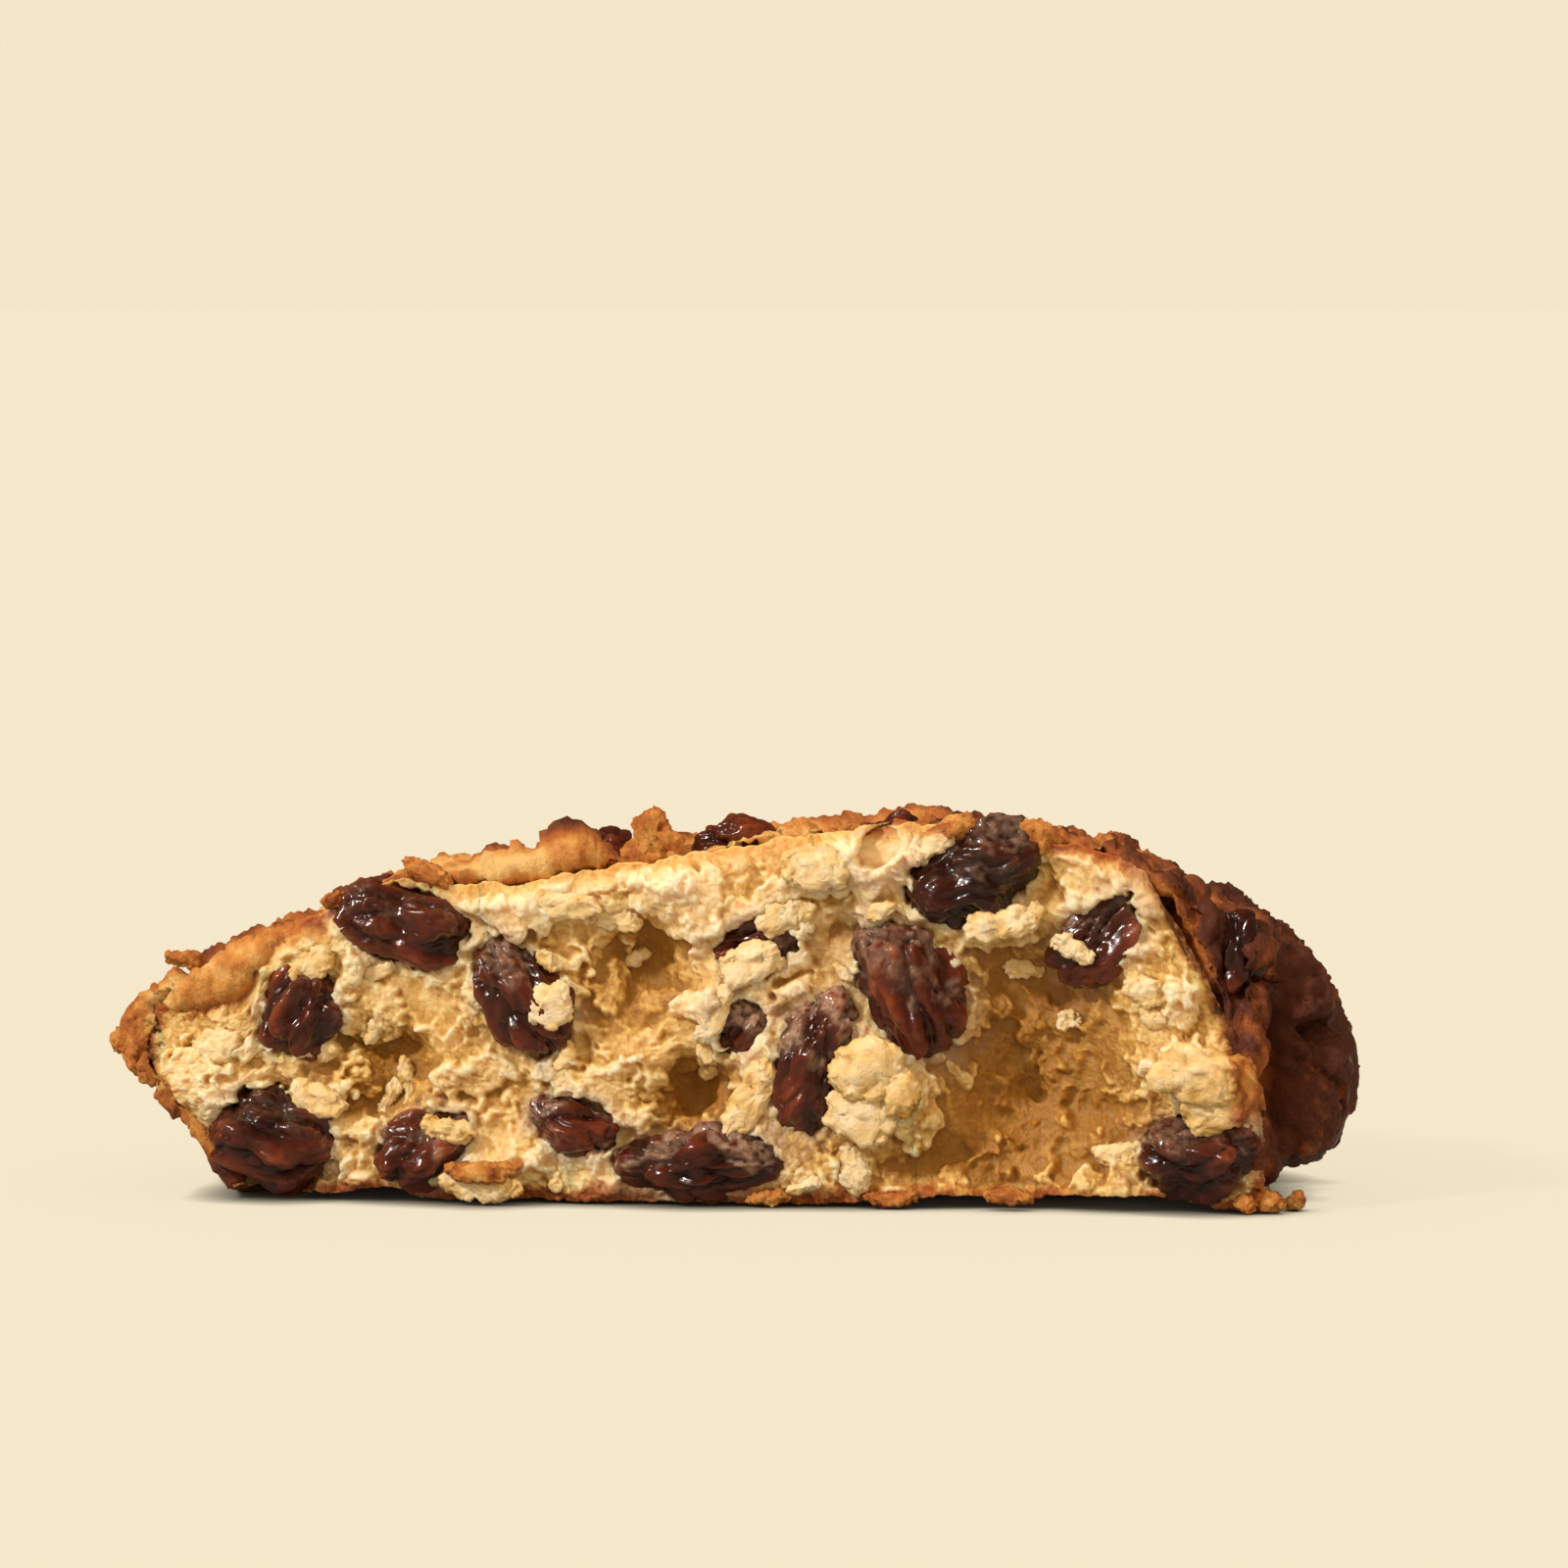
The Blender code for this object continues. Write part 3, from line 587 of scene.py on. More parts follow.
# ---------------------------------------------------------------------------------------------
# Crumb: the torn inside of the dough. Flour, butter and egg, set soft: ragged pale ledges where
# it tore, and smoother, moister hollows between them, their ochre partly the crumb's own tone and
# partly painted shade. It is made in three lengths that share their edges, and draws back over
# each raisin, so that the skin shows through.
# ---------------------------------------------------------------------------------------------
CRUMB_COLUMNS, CRUMB_ROWS, CRUMB_BACK_ROWS, CRUMB_LENGTHS = 960, 262, 4, 3
BEHIND, CRUMB_RAISINS = 11.5, 15
PARTLY_COVERED = {2: 0.05, 8: 0.12, 9: 0.2, 10: 0.05, 11: 0.15, 13: 0.2, 15: 0.25}
GRAINS = ((1.0, 0.2, 61), (0.5, 0.16, 71))
TORN_RELIEF = (
    (-29.8, 11.5, 3.2, 3.4, -2.0), (-33.5, 8.3, 1.8, 1.0, -1.6), (-33.0, 14.4, 1.3, 0.8, -1.5),
    (-28.2, 14.0, 1.3, 0.9, -1.4), (-30.8, 9.6, 1.4, 1.2, -1.2), (-11.5, 19.0, 2.6, 2.8, -0.6),
    (-15.2, 23.8, 2.6, 1.6, -0.6), (2.0, 16.6, 2.4, 2.2, -1.0), (-3.6, 9.9, 1.4, 1.8, -0.8),
    (26.4, 11.5, 1.6, 1.6, -1.6), (31.2, 25.9, 0.9, 0.8, -2.8), (19.5, 4.5, 7.0, 1.6, -1.2),
    (33.5, 9.0, 3.0, 1.0, -1.4), (13.0, 24.6, 5.0, 0.8, -1.4), (31.0, 18.8, 4.0, 2.2, -1.4),
    (-24.2, 13.6, 3.2, 2.4, 1.3), (-8.5, 13.0, 4.5, 3.0, 1.5), (-6.0, 28.0, 6.0, 2.6, 1.2),
    (20.5, 9.0, 3.0, 3.4, 0.8), (38.5, 18.0, 4.0, 4.0, 1.2), (-46.5, 11.0, 3.0, 3.4, 1.0),
    (-35.0, 22.4, 4.6, 2.2, 1.2), (4.5, 27.0, 4.6, 2.4, 0.9), (27.0, 25.6, 3.4, 1.4, 1.2),
)
# Places where the crumb's colour is painted darker as shade: the shadow of the cookie's other half, which is
# not built, and deep hollows. Being darker in value, they are also less rough.
PAINTED_SHADE_PLACES = (
    (29.0, 16.5, 6.5, 5.0, 0.75), (26.0, 6.0, 12.0, 4.5, 0.6), (-29.8, 11.5, 4.5, 4.5, 0.4),
    (1.6, 16.0, 3.0, 3.2, 0.45), (-10.5, 18.0, 4.0, 5.0, 0.25), (38.0, 6.5, 4.0, 4.0, 0.3),
    (-4.0, 9.6, 3.0, 3.0, 0.35), (6.0, 6.0, 5.0, 2.6, 0.25),
)
across = np.linspace(0, 1, CRUMB_COLUMNS)[:, None]
up = np.linspace(0, 1, CRUMB_ROWS)[None, :]
left_end, right_end = straight_curve(CRUMB_LEFT, up), straight_curve(CRUMB_RIGHT, up)
crumb_x = left_end + (right_end - left_end) * across
lift = bells(crumb_x, 0 * crumb_x, [(x, 0, width, 1, height) for x, width, height in BASE_GAPS])
along_edge = np.stack([crumb_x, 0 * crumb_x, 0 * crumb_x], axis=-1)
ragged_top = 0.9 * layered_noise(along_edge, 4.0, 25, 4, gain=0.6) + 0.1
crumb_low = 0.3 + lift + 0.3 * layered_noise(along_edge, 2.0, 26, 3)
crumb_z = crumb_low + (smooth_curve(CRUMB_TOP, crumb_x) + ragged_top - crumb_low) * up
big_relief = bells(crumb_x, crumb_z, FACE_RELIEF + TORN_RELIEF)
margin = np.minimum(np.minimum(crumb_margin(crumb_x, crumb_z), crumb_z), 6.0)
inner = ramp(margin, 0.0, 2.0)
crumb_y = straight_curve(FRONT_TURN, crumb_x) + 0.4 * (1 - inner) - big_relief * inner
crumb = np.stack([crumb_x, crumb_y, crumb_z], axis=-1)


def torn_ledges(points, size, seed, level):
    """1 on ledges and 0 off them, with a steep ragged edge where layered noise passes a level."""
    noise = layered_noise(points, size, seed, 4, gain=0.58)
    return ramp(noise, level, level + 0.06), noise


def smoothed(grid, passes):
    """Each point of a grid drawn towards its neighbours along both ways, the edges left alone."""
    for _ in range(passes):
        grid = grid.copy()
        grid[..., 1:-1, :] = (grid[..., :-2, :] + 2 * grid[..., 1:-1, :] + grid[..., 2:, :]) / 4
        grid[..., 1:-1, :, :] = (grid[..., :-2, :, :] + 2 * grid[..., 1:-1, :, :] + grid[..., 2:, :, :]) / 4
    return grid


def crumbled(points, amount, grains, squash=1.0):
    """A mealy skin. Slow noise heaves it, and in each of several sizes of cell, every grain stands
    at its own random height with a groove round it, along the smoothed surface's normal."""
    normals = smoothed(grid_normals(points), 4)
    heave = 0.2 * layered_noise(points * [1.0, squash, 1.0], 1.9, 62, 4, gain=0.6)
    points = points + normals * (heave * amount)[..., None]
    for size, height, seed in grains:
        bent = points * [1.0, squash, 1.0]
        bent = bent + 0.35 * size * shifted_noise(bent, 1.1 * size, seed + 5)
        way, gap, luck = clods(bent, size, seed, near=True)
        step = luck - 0.5 - 0.5 * np.exp(-((gap / (0.2 * size)) ** 2))
        points = points + normals * (height * step * amount)[..., None]
    return points


flat_place = crumb * [0.85, 0.3, 1.0] + 0.7 * shifted_noise(crumb, 2.0, 31, 2)
swell = layered_noise(flat_place, 9.0, 30, 2)
big_ledge, big_noise = torn_ledges(flat_place, 6.5, 32, 0.03)
mid_ledge, mid_noise = torn_ledges(flat_place, 3.4, 41, 0.07)
small_ledge, _ = torn_ledges(flat_place, 1.6, 51, 0.1)
ledges = 0.75 * big_ledge + 0.4 * mid_ledge + 0.16 * small_ledge
stand = 1.3 * swell + 0.5 * big_noise + 0.3 * mid_noise + ledges - 0.65
outward = grid_normals(crumb)
crumb = crumb + outward * (stand * (0.3 + 0.7 * inner))[..., None]
overhang = grid_normals(crumb) * [1.0, 0.3, 1.0]
crumb = smoothed(crumb + overhang * (0.25 * np.clip(ledges - 0.5, 0, 1) * inner)[..., None], 2)

face_raisins = raisins[:CRUMB_RAISINS]
stained, drawn_back, collar, pocket = (np.zeros(crumb_x.shape) for _ in range(4))
ragged_outline = 0.22 * layered_noise(crumb, 1.6, 45, 3) + 0.16 * layered_noise(crumb, 4.0, 47, 2)
for number, raisin in enumerate(face_raisins, start=1):
    outline, centre, _ = raisin_outline(crumb[..., 0], crumb[..., 2], raisin)
    ragged = outline + ragged_outline + PARTLY_COVERED.get(number, 0.0)
    open_over = 1 - ramp(ragged, 0.8, 0.93)
    collar = np.maximum(collar, np.exp(-(((ragged - 1.12) / 0.14) ** 2)))
    pocket = np.where(open_over > drawn_back, centre + 0.5, pocket)
    drawn_back = np.maximum(drawn_back, open_over)
    around_it = np.exp(-(((outline - 1.0) / 0.3) ** 2))
    stained = np.maximum(stained, around_it * (0.4 + 0.8 * FILM.get(number, 0.0)))
crumb[..., 1] += np.maximum(pocket - crumb[..., 1], 0.0) * drawn_back - 0.2 * collar * (1 - drawn_back)
stained = np.clip(stained * (0.5 + 1.4 * layered_noise(crumb, 3.0, 46, 3)), 0, 0.8)

dry = np.clip(0.42 * big_ledge + 0.38 * mid_ledge + 0.2 * small_ledge, 0, 1)
dry = np.maximum(dry, 0.8 * (1 - ramp(crumb[..., 0], -50.0, -36.0)))
dry = np.maximum(dry, 0.8 * ramp(crumb[..., 0], 34.0, 40.0))
facing = ramp(-smoothed(grid_normals(crumb), 3)[..., 1], 0.15, 0.6)
crumb = crumbled(crumb, (0.5 + 0.5 * dry) * (1 - drawn_back) * facing, GRAINS, squash=0.4)
# The crumb's colour value: paler where it stands proud of its surroundings and on high ground, darker ochre
# in hollows, partly the moister crumb's own tone and partly painted shade.
proud = [np.clip(smoothed(crumb[..., 1:2], passes)[..., 0] - crumb[..., 1], -1, 1) for passes in (12, 120)]
# Painted shade at the listed places lowers the crumb's colour value.
painted_shade = bells(crumb_x, crumb_z, PAINTED_SHADE_PLACES)
level = np.clip(big_relief * inner + stand, -3.0, 2.5)
rise = np.clip(0.5 + 0.11 * level + 0.6 * proud[0] + 0.5 * proud[1] - painted_shade, 0, 1)
mid_top = ramp(crumb_x, -34.0, -28.0) * (1 - ramp(crumb_x, 18.0, 26.0))
toasted = (1 - ramp(margin + 0.9 * layered_noise(crumb, 1.8, 91, 4), 0.1, 1.9)) * (1 - 0.5 * mid_top)
foot = 1 - ramp(crumb[..., 2] + 1.5 * layered_noise(crumb, 2.6, 92, 4), 1.1, 2.6)
toasted = np.clip(np.maximum(toasted, foot), 0, 1)

back_rows = np.linspace(1, 0, CRUMB_BACK_ROWS)[None, :]
back_points = np.stack([
    crumb[:, -1:, 0] + (crumb[:, :1, 0] - crumb[:, -1:, 0]) * (1 - back_rows),
    np.full((CRUMB_COLUMNS, CRUMB_BACK_ROWS), BEHIND),
    0.6 + (crumb[:, -1:, 2] - 1.6) * back_rows,
], axis=-1)
crumb_rings = np.concatenate([crumb, back_points], axis=1)


def padded_out(value):
    """The front's values carried round the hidden back."""
    return np.concatenate([value, np.repeat(value[:, -1:], CRUMB_BACK_ROWS, axis=1)], axis=1)


# Soft baked crumb: pale, porous and moist, so light soaks in and the ledges' edges glow. It is
# dull where it is dry, and glistens in the moist hollows. Its colour darkens to ochre in the
# hollows and at the places of painted shade: partly its own tone, partly painted shade.
soft_crumb, shader = new_material("soft_crumb", {
    "IOR": 1.45, "Subsurface Weight": 0.6, "Subsurface Scale": 0.0022,
    "Subsurface Radius": (1.0, 0.55, 0.2),
})
spot = add_node(soft_crumb, "ShaderNodeTexCoord")
raised = add_node(soft_crumb, "ShaderNodeAttribute", {"attribute_name": "rise"})
near_crust = add_node(soft_crumb, "ShaderNodeAttribute", {"attribute_name": "toasted"})
near_raisin = add_node(soft_crumb, "ShaderNodeAttribute", {"attribute_name": "stained"})
mottle = add_node(soft_crumb, "ShaderNodeTexNoise", {"Scale": 240.0, "Detail": 7.0, "Roughness": 0.7},
                  Vector=spot.outputs["Object"])
mixed = add_node(soft_crumb, "ShaderNodeMath", {"operation": "MULTIPLY_ADD", 1: 0.8},
                 _0=mottle.outputs["Fac"], _2=raised.outputs["Fac"])
shifted = add_node(soft_crumb, "ShaderNodeMath", {"operation": "SUBTRACT", 1: 0.4}, _0=mixed.outputs[0])
pale = add_ramp(soft_crumb, shifted.outputs[0], (
    (0.0, "#A8752F"), (0.25, "#D3A65A"), (0.5, "#EECB8B"), (0.75, "#F5DBAD"), (1.0, "#F8E5C6"),
))
golden = add_ramp(soft_crumb, near_crust.outputs["Fac"], (
    (0.0, "#EACB92"), (0.35, "#E8B562"), (0.7, "#CC8234"), (1.0, "#A05521"),
))
toast = add_node(soft_crumb, "ShaderNodeMix", {"data_type": "RGBA"}, Factor=near_crust.outputs["Fac"])
soft_crumb.node_tree.links.new(pale, toast.inputs[6])
soft_crumb.node_tree.links.new(golden, toast.inputs[7])
stain = add_node(soft_crumb, "ShaderNodeMix", {"data_type": "RGBA", 7: colour("#C6A587")},
                 Factor=near_raisin.outputs["Fac"])
soft_crumb.node_tree.links.new(toast.outputs[2], stain.inputs[6])
soft_crumb.node_tree.links.new(stain.outputs[2], shader.inputs["Base Color"])
dullness = add_node(soft_crumb, "ShaderNodeMapRange", {"To Min": 0.3, "To Max": 0.6},
                    Value=raised.outputs["Fac"])
soft_crumb.node_tree.links.new(dullness.outputs[0], shader.inputs["Roughness"])
fluff = add_node(soft_crumb, "ShaderNodeTexNoise", {"Scale": 2800.0, "Detail": 4.0, "Roughness": 0.65},
                 Vector=spot.outputs["Object"])
bump = add_node(soft_crumb, "ShaderNodeBump", {"Strength": 0.8, "Distance": 0.00024},
                Height=fluff.outputs["Fac"])
soft_crumb.node_tree.links.new(bump.outputs["Normal"], shader.inputs["Normal"])

# Where a flake hangs dry and thin, no light soaks far in.
dry_crumb = soft_crumb.copy()
dry_crumb.name = "dry_crumb"
dry_crumb.node_tree.nodes["Principled BSDF"].inputs["Subsurface Weight"].default_value = 0.1

cuts = np.linspace(0, CRUMB_COLUMNS - 1, CRUMB_LENGTHS + 1).astype(int)
values = {"rise": padded_out(rise), "toasted": padded_out(toasted), "stained": padded_out(stained)}
for name, first, last in zip(("crumb_left", "crumb_middle", "crumb_right"), cuts[:-1], cuts[1:]):
    rings = crumb_rings[first:last + 1, ::-1]
    own = {k: v[first:last + 1, ::-1] for k, v in values.items()}
    straight_back = [1.0, 0.0, 1.0]
    if first:
        rings = np.concatenate([rings[:1] * straight_back + [0.0, BEHIND, 0.0], rings])
        own = {k: np.concatenate([v[:1], v]) for k, v in own.items()}
    if last < CRUMB_COLUMNS - 1:
        rings = np.concatenate([rings, rings[-1:] * straight_back + [0.0, BEHIND, 0.0]])
        own = {k: np.concatenate([v, v[-1:]]) for k, v in own.items()}
    tips = rings[[0, -1]].mean(axis=1)[None] + [[[0.0 if first else -0.2, 0.0, 0.0], [0.2, 0.0, 0.0]]]
    piece = closed_skin(name, rings[None], tips, {k: v[None] for k, v in own.items()})
    piece.data.materials.append(soft_crumb)
    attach(piece, "root")
    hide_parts("dough")

# ---------------------------------------------------------------------------------------------
# Torn flakes: pieces of crumb that hang on by an edge where the halves came apart, over hollows
# and over raisins. Each is a flattened ball, ragged all over with the crumb's own grains.
# ---------------------------------------------------------------------------------------------
LOOSE_FLAKES = 60
FLAKES = (
    (-9.9, 25.6, 2.4, 1.0, -5), (2.6, 21.8, 2.9, 1.6, 15), (-0.6, 17.1, 2.6, 1.0, 60),
    (2.3, 9.6, 4.2, 1.4, 62), (13.2, 12.6, 3.4, 2.6, 15), (12.6, 8.6, 3.2, 2.4, -20),
    (16.0, 10.6, 1.6, 2.2, 0), (11.6, 3.6, 1.2, 2.0, 8), (-15.2, 18.1, 1.7, 1.9, 20),
    (-22.3, 18.7, 0.7, 1.3, 30), (-21.4, 1.9, 3.8, 1.3, -4), (42.4, 12.6, 3.8, 2.4, -12),
    (44.0, 9.6, 3.0, 2.0, 20), (35.6, 4.9, 2.3, 1.4, 0), (30.5, 16.5, 0.8, 0.7, 0),
    (13.4, 31.4, 5.6, 2.0, 14), (18.6, 32.6, 2.2, 1.2, 20), (8.4, 30.4, 3.0, 1.8, 0),
    (25.0, 25.5, 3.0, 1.3, 10), (31.0, 23.4, 2.0, 0.9, -30), (-36.5, 9.3, 2.6, 1.2, -20),
    (-28.6, 10.2, 0.5, 2.4, 10), (-30.4, 9.2, 0.5, 1.8, -25), (-24.5, 6.8, 2.4, 0.9, -10),
    (-37.0, 21.2, 2.4, 1.2, 30), (-14.4, 26.8, 3.0, 1.2, -4), (5.6, 25.8, 2.6, 1.3, 20),
    (-45.6, 13.6, 2.2, 1.6, 20), (37.5, 20.0, 1.8, 1.2, -30), (26.4, 21.4, 1.8, 0.9, -12),
)
face_y_at = np.minimum(crumb[..., 1], 20.0)
for raisin in face_raisins:
    outline, _, skin = raisin_outline(crumb[..., 0], crumb[..., 2], raisin)
    face_y_at = np.where(outline < 0.97, np.minimum(face_y_at, skin), face_y_at)


def face_depth(x, z):
    """The depth of whatever shows at places on the broken face, crumb or raisin, read from the
    nearest point of the crumb's grid."""
    found = []
    for place_x, place_z in zip(x, z):
        away = (crumb[..., 0] - place_x) ** 2 + (crumb[..., 2] - place_z) ** 2
        found.append(face_y_at[np.unravel_index(np.argmin(away), away.shape)])
    return np.array(found)


def flake_skins(places, sizes, turns, seed, grains, rings, around):
    """Flattened balls, sizes being half widths, depths and heights, turned in the broken face's
    plane. Slow noise pulls their outline about and the grains roughen it."""
    lean = np.linspace(0, math.pi, rings + 2)[1:-1][:, None]
    turn = np.linspace(0, 2 * math.pi, around, endpoint=False)[None, :]
    ring = np.sin(lean)
    ball = np.stack(np.broadcast_arrays(-np.cos(lean), ring * np.cos(turn), ring * np.sin(turn)), axis=-1)
    ball = np.sign(ball) * np.abs(ball) ** 0.8
    shape = ball[None] * sizes[:, None, None, :]
    pull = np.minimum(0.8, 0.6 * sizes[:, [0, 2]].min(axis=1))[:, None, None, None]
    here = shape + places[:, None, None, :] + seed
    shape = shape + pull * shifted_noise(here, 2.2, 95, 3) * [1.0, 0.4, 1.0]
    shape = shape + 0.42 * shifted_noise(here, 0.9, 99, 3) * [1.0, 0.5, 1.0]
    c, s = np.cos(turns)[:, None, None], np.sin(turns)[:, None, None]
    x, y, z = np.moveaxis(shape, -1, 0)
    skins = np.stack([c * x - s * z, y, s * x + c * z], axis=-1) + places[:, None, None, :]
    return crumbled(skins, np.full(skins.shape[:-1], 1.2), grains)


def place_flakes(name, flakes, seed, rings, around):
    """Flakes, given as x, z, half width, half height and turn in degrees, laid on whatever shows
    there. Near the crust they are browned."""
    depth = np.clip(0.45 * np.minimum(flakes[:, 2], flakes[:, 3]), 0.3, 0.9)
    before = face_depth(flakes[:, 0], flakes[:, 1]) - 0.3 * depth
    places = np.stack([flakes[:, 0], before, flakes[:, 1]], axis=-1)
    sizes = np.stack([flakes[:, 2], depth, flakes[:, 3]], axis=-1)
    skins = flake_skins(places, sizes, np.radians(flakes[:, 4]), seed, GRAINS, rings, around)
    skins[..., 2] = np.maximum(skins[..., 2], 0.03)
    # Each flake is paler at its front and darker towards its back, where it lies against the crumb: painted
    # shade.
    forward = 0.25 * (places[:, 1] - depth)[:, None, None] - 0.25 * skins[..., 1]
    edge = ramp(crumb_margin(skins[..., 0], skins[..., 2]) + 0.8 * layered_noise(skins, 1.6, 97, 3), 0.0, 1.6)
    at_right_lump = ramp(skins[..., 0] + 1.0 * layered_noise(skins, 2.0, 98, 3), 44.6, 46.6)
    toasted = np.clip(np.maximum(1 - edge, at_right_lump), 0, 1)
    own = np.broadcast_to(luck.uniform(0.45, 0.8, len(flakes))[:, None, None], toasted.shape)
    piece = closed_skin(name, skins, skins[:, [0, -1]].mean(axis=2), {
        "rise": np.clip(own + forward + 0.5 * layered_noise(skins, 1.5, 96, 2), 0, 1),
        "toasted": toasted, "stained": 0 * toasted,
    })
    piece.data.materials.append(dry_crumb)
    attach(piece, "root")
    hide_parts("dough")


luck = np.random.default_rng(7)
place_flakes("torn_flakes", np.array(FLAKES), 300.0, 34, 48)
loose_x = luck.uniform(-50.0, 45.0, LOOSE_FLAKES)
loose_z = 1.5 + (smooth_curve(CRUMB_TOP, loose_x) - 2.5) * luck.random(LOOSE_FLAKES)
loose = np.stack([
    loose_x, loose_z, luck.uniform(0.45, 1.5, LOOSE_FLAKES), luck.uniform(0.35, 0.85, LOOSE_FLAKES),
    luck.uniform(-70, 70, LOOSE_FLAKES),
], axis=-1)
off_raisins = np.min([raisin_outline(loose_x, loose_z, r)[0] for r in face_raisins], axis=0) > 0.98
# Loose flakes keep off the places of painted shade.
off_painted_shade = bells(loose_x, loose_z, PAINTED_SHADE_PLACES) < 0.2
loose = loose[off_raisins & off_painted_shade & (crumb_margin(loose_x, loose_z) > 1.0)]
place_flakes("small_flakes", loose, 700.0, 20, 30)

# ---------------------------------------------------------------------------------------------
# Crust flakes: bits of baked skin that stand up along the tear, the curl on top, the flap at the
# left, and the browned crumbs at the foot. Ragged flattened balls again, in baked crust.
# ---------------------------------------------------------------------------------------------
CRUST_FLAKES = (
    (-6.6, 1.6, 33.0, 1.5, 0.8, 2.0, 8), (-5.0, 1.4, 32.8, 1.4, 0.6, 0.8, -35),
    (-7.4, 1.8, 31.4, 1.6, 0.9, 1.2, 0), (-48.8, 1.2, 21.6, 1.7, 0.7, 0.6, -8),
    (-22.0, -2.2, 3.0, 2.6, 1.4, 0.7, -8), (-19.6, -1.6, 3.2, 1.6, 1.0, 0.6, 6),
    (46.2, -0.8, 11.6, 1.3, 1.4, 2.6, 12), (20.8, 0.4, 34.0, 1.6, 1.2, 0.8, 20),
    (28.0, 0.8, 33.2, 1.0, 0.8, 1.6, 20), (-35.0, 0.6, 27.0, 0.9, 0.6, 0.7, 0),
    (-26.6, 1.0, 29.4, 2.2, 0.9, 0.6, -25), (48.6, 0.8, 1.0, 1.2, 1.0, 0.8, 0),
    (50.6, 3.0, 0.8, 1.0, 0.9, 0.7, 30), (46.6, -0.4, 0.8, 0.8, 0.7, 0.6, 0),
    (-55.0, 3.0, 14.0, 0.8, 0.8, 0.9, 20), (4.0, -0.2, 0.9, 1.8, 0.6, 0.5, 0),
    (15.0, -0.2, 0.9, 2.2, 0.6, 0.5, 0), (25.5, 0.0, 1.2, 2.0, 0.6, 0.5, 0),
)
CRUST_GRAINS = ((1.2, 0.22, 161), (0.6, 0.18, 171))
crust_flakes = np.array(CRUST_FLAKES)
crust_skins = flake_skins(
    crust_flakes[:, :3], crust_flakes[:, 3:6], np.radians(crust_flakes[:, 6]), 500.0, CRUST_GRAINS, 34, 48)
crust_skins[..., 2] = np.maximum(crust_skins[..., 2], 0.03)
crust_flake_piece = closed_skin("crust_flakes", crust_skins, crust_skins[:, [0, -1]].mean(axis=2), {
    "browned_and_shaded": 0.42 + 0.5 * layered_noise(crust_skins, 2.0, 181, 3),
})
crust_flake_piece.data.materials.append(baked_crust)
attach(crust_flake_piece, "root")
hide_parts("dough")

# ---------------------------------------------------------------------------------------------
# Floor, light and camera. The floor glows in the backdrop's own colour and darkens only where
# the dough all but rests on it, a contact shadow painted into its glow. One soft sun shines from
# the left, the front and above.
# ---------------------------------------------------------------------------------------------
BACKDROP = "#F3E6CA"
VIEW_TURN, VIEW_RISE, VIEW_DISTANCE = math.radians(7.0), math.radians(4.2), 0.9
FRAME_WIDTH = 0.1395
MIDDLE_RIGHT, MIDDLE_UP = 0.0054, 0.0376
KEY_TOWARDS, KEY_STRENGTH, KEY_SPREAD = (0.75, 0.72, -0.75), 2.15, 6.0
FILL_STRENGTH = 1.3

bpy.ops.mesh.primitive_circle_add(vertices=128, radius=3.0, fill_type="NGON")
floor = bpy.context.object
floor.name = "floor"
paper, shader = new_material("backdrop_paper", {"Roughness": 0.9, "Base Color": colour("#DFDCD2")})
light_path = add_node(paper, "ShaderNodeLightPath")
# Ambient occlusion dims the glow where the dough nearly touches the floor: a painted contact shadow.
contact = add_node(paper, "ShaderNodeAmbientOcclusion", {"Distance": 0.004})
shade = add_node(paper, "ShaderNodeMath", {"operation": "POWER", 1: 1.5}, _0=contact.outputs["AO"])
seen = add_node(paper, "ShaderNodeMapRange", {"To Min": 0.3, "To Max": 1.0},
                Value=light_path.outputs["Is Camera Ray"])
shaded = add_node(paper, "ShaderNodeMath", {"operation": "MULTIPLY"}, _0=shade.outputs[0], _1=seen.outputs[0])
glow = add_node(paper, "ShaderNodeEmission", {"Color": colour(BACKDROP)}, Strength=shaded.outputs[0])
mix = add_node(paper, "ShaderNodeMixShader", {"Fac": 0.12})
paper.node_tree.links.new(glow.outputs[0], mix.inputs[1])
paper.node_tree.links.new(shader.outputs[0], mix.inputs[2])
paper.node_tree.links.new(mix.outputs[0], paper.node_tree.nodes["Material Output"].inputs["Surface"])
floor.data.materials.append(paper)

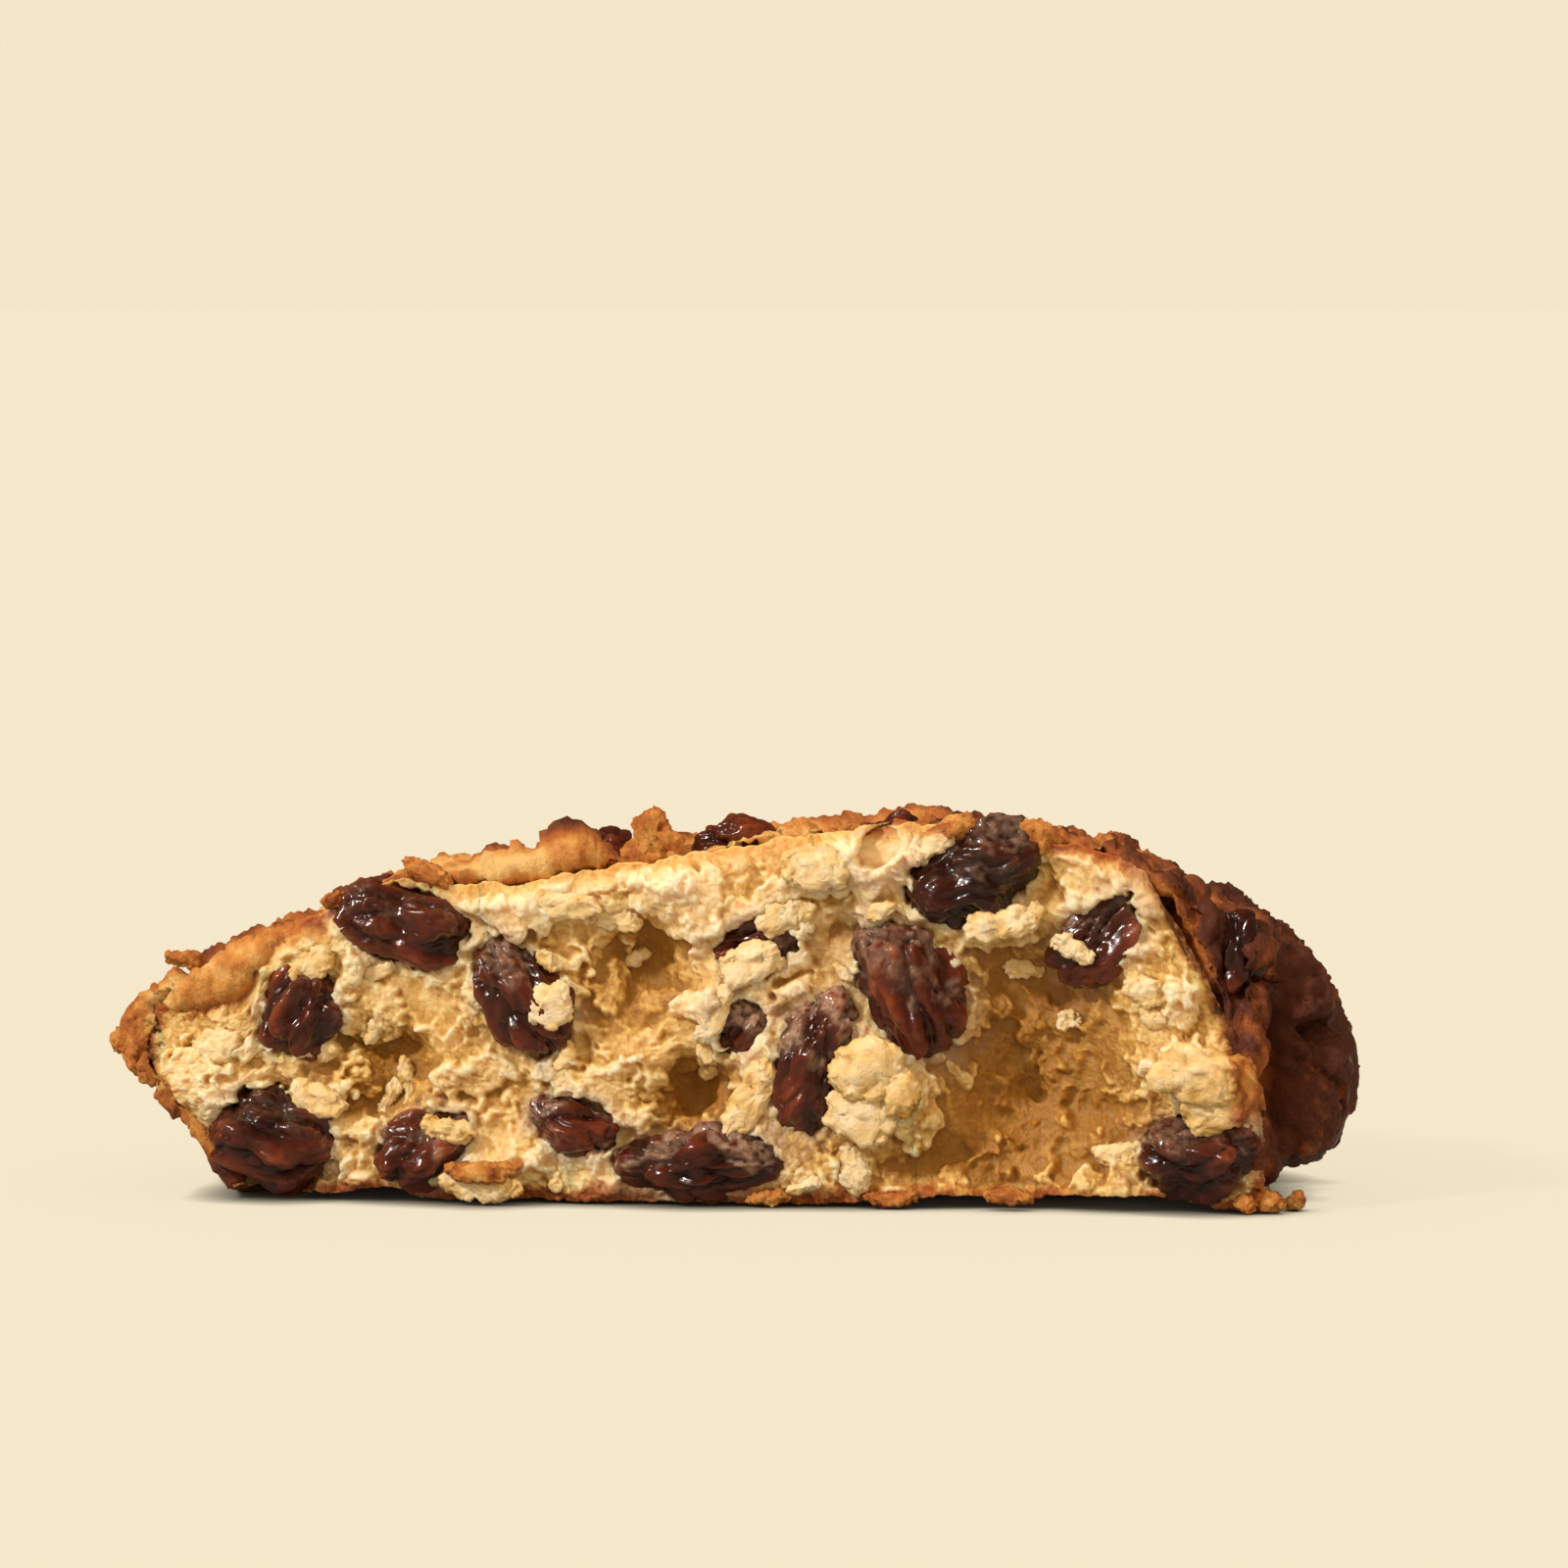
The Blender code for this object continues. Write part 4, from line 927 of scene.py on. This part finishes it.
world = bpy.data.worlds.new("studio")
world.use_nodes = True
bpy.context.scene.world = world
tree = world.node_tree
ray = tree.nodes.new("ShaderNodeLightPath")
sky = tree.nodes["Background"]
sky.inputs["Color"].default_value = colour("#F8DDB8")
sky.inputs["Strength"].default_value = FILL_STRENGTH
output = sky.outputs[0]
for rays, code, strength in (("Is Glossy Ray", "#F0D8B0", 0.12), ("Is Camera Ray", BACKDROP, 1.0)):
    seen = tree.nodes.new("ShaderNodeBackground")
    seen.inputs["Color"].default_value = colour(code)
    seen.inputs["Strength"].default_value = strength
    switch = tree.nodes.new("ShaderNodeMixShader")
    tree.links.new(ray.outputs[rays], switch.inputs["Fac"])
    tree.links.new(output, switch.inputs[1])
    tree.links.new(seen.outputs[0], switch.inputs[2])
    output = switch.outputs[0]
tree.links.new(output, tree.nodes["World Output"].inputs["Surface"])


def add_sun(name, towards, strength, spread):
    """A distant light that shines along the direction, softened by its spread in degrees."""
    data = bpy.data.lights.new(name, "SUN")
    data.energy = strength
    data.angle = math.radians(spread)
    light = bpy.data.objects.new(name, data)
    light.rotation_mode = "QUATERNION"
    light.rotation_quaternion = Vector(towards).to_track_quat("-Z", "Y")
    bpy.context.scene.collection.objects.link(light)
    return light


key_light = add_sun("key_light", KEY_TOWARDS, KEY_STRENGTH, KEY_SPREAD)
key_light.data.color = (1.0, 0.96, 0.9)

right = Vector((math.cos(VIEW_TURN), math.sin(VIEW_TURN), 0))
level_part = math.cos(VIEW_RISE)
towards = Vector((-math.sin(VIEW_TURN) * level_part, math.cos(VIEW_TURN) * level_part, -math.sin(VIEW_RISE)))
upward = right.cross(towards)
aim = Vector(PLACE) + right * MIDDLE_RIGHT + upward * MIDDLE_UP
camera = bpy.data.objects.new("camera", bpy.data.cameras.new("camera"))
camera.data.sensor_width = 36.0
camera.data.lens = 36.0 * VIEW_DISTANCE / FRAME_WIDTH
camera.data.clip_start, camera.data.clip_end = 0.05, 10.0
camera.location = aim - towards * VIEW_DISTANCE
camera.rotation_mode = "QUATERNION"
camera.rotation_quaternion = towards.to_track_quat("-Z", "Y")
bpy.context.scene.collection.objects.link(camera)
bpy.context.scene.camera = camera
bpy.context.scene.view_settings.view_transform = "Standard"
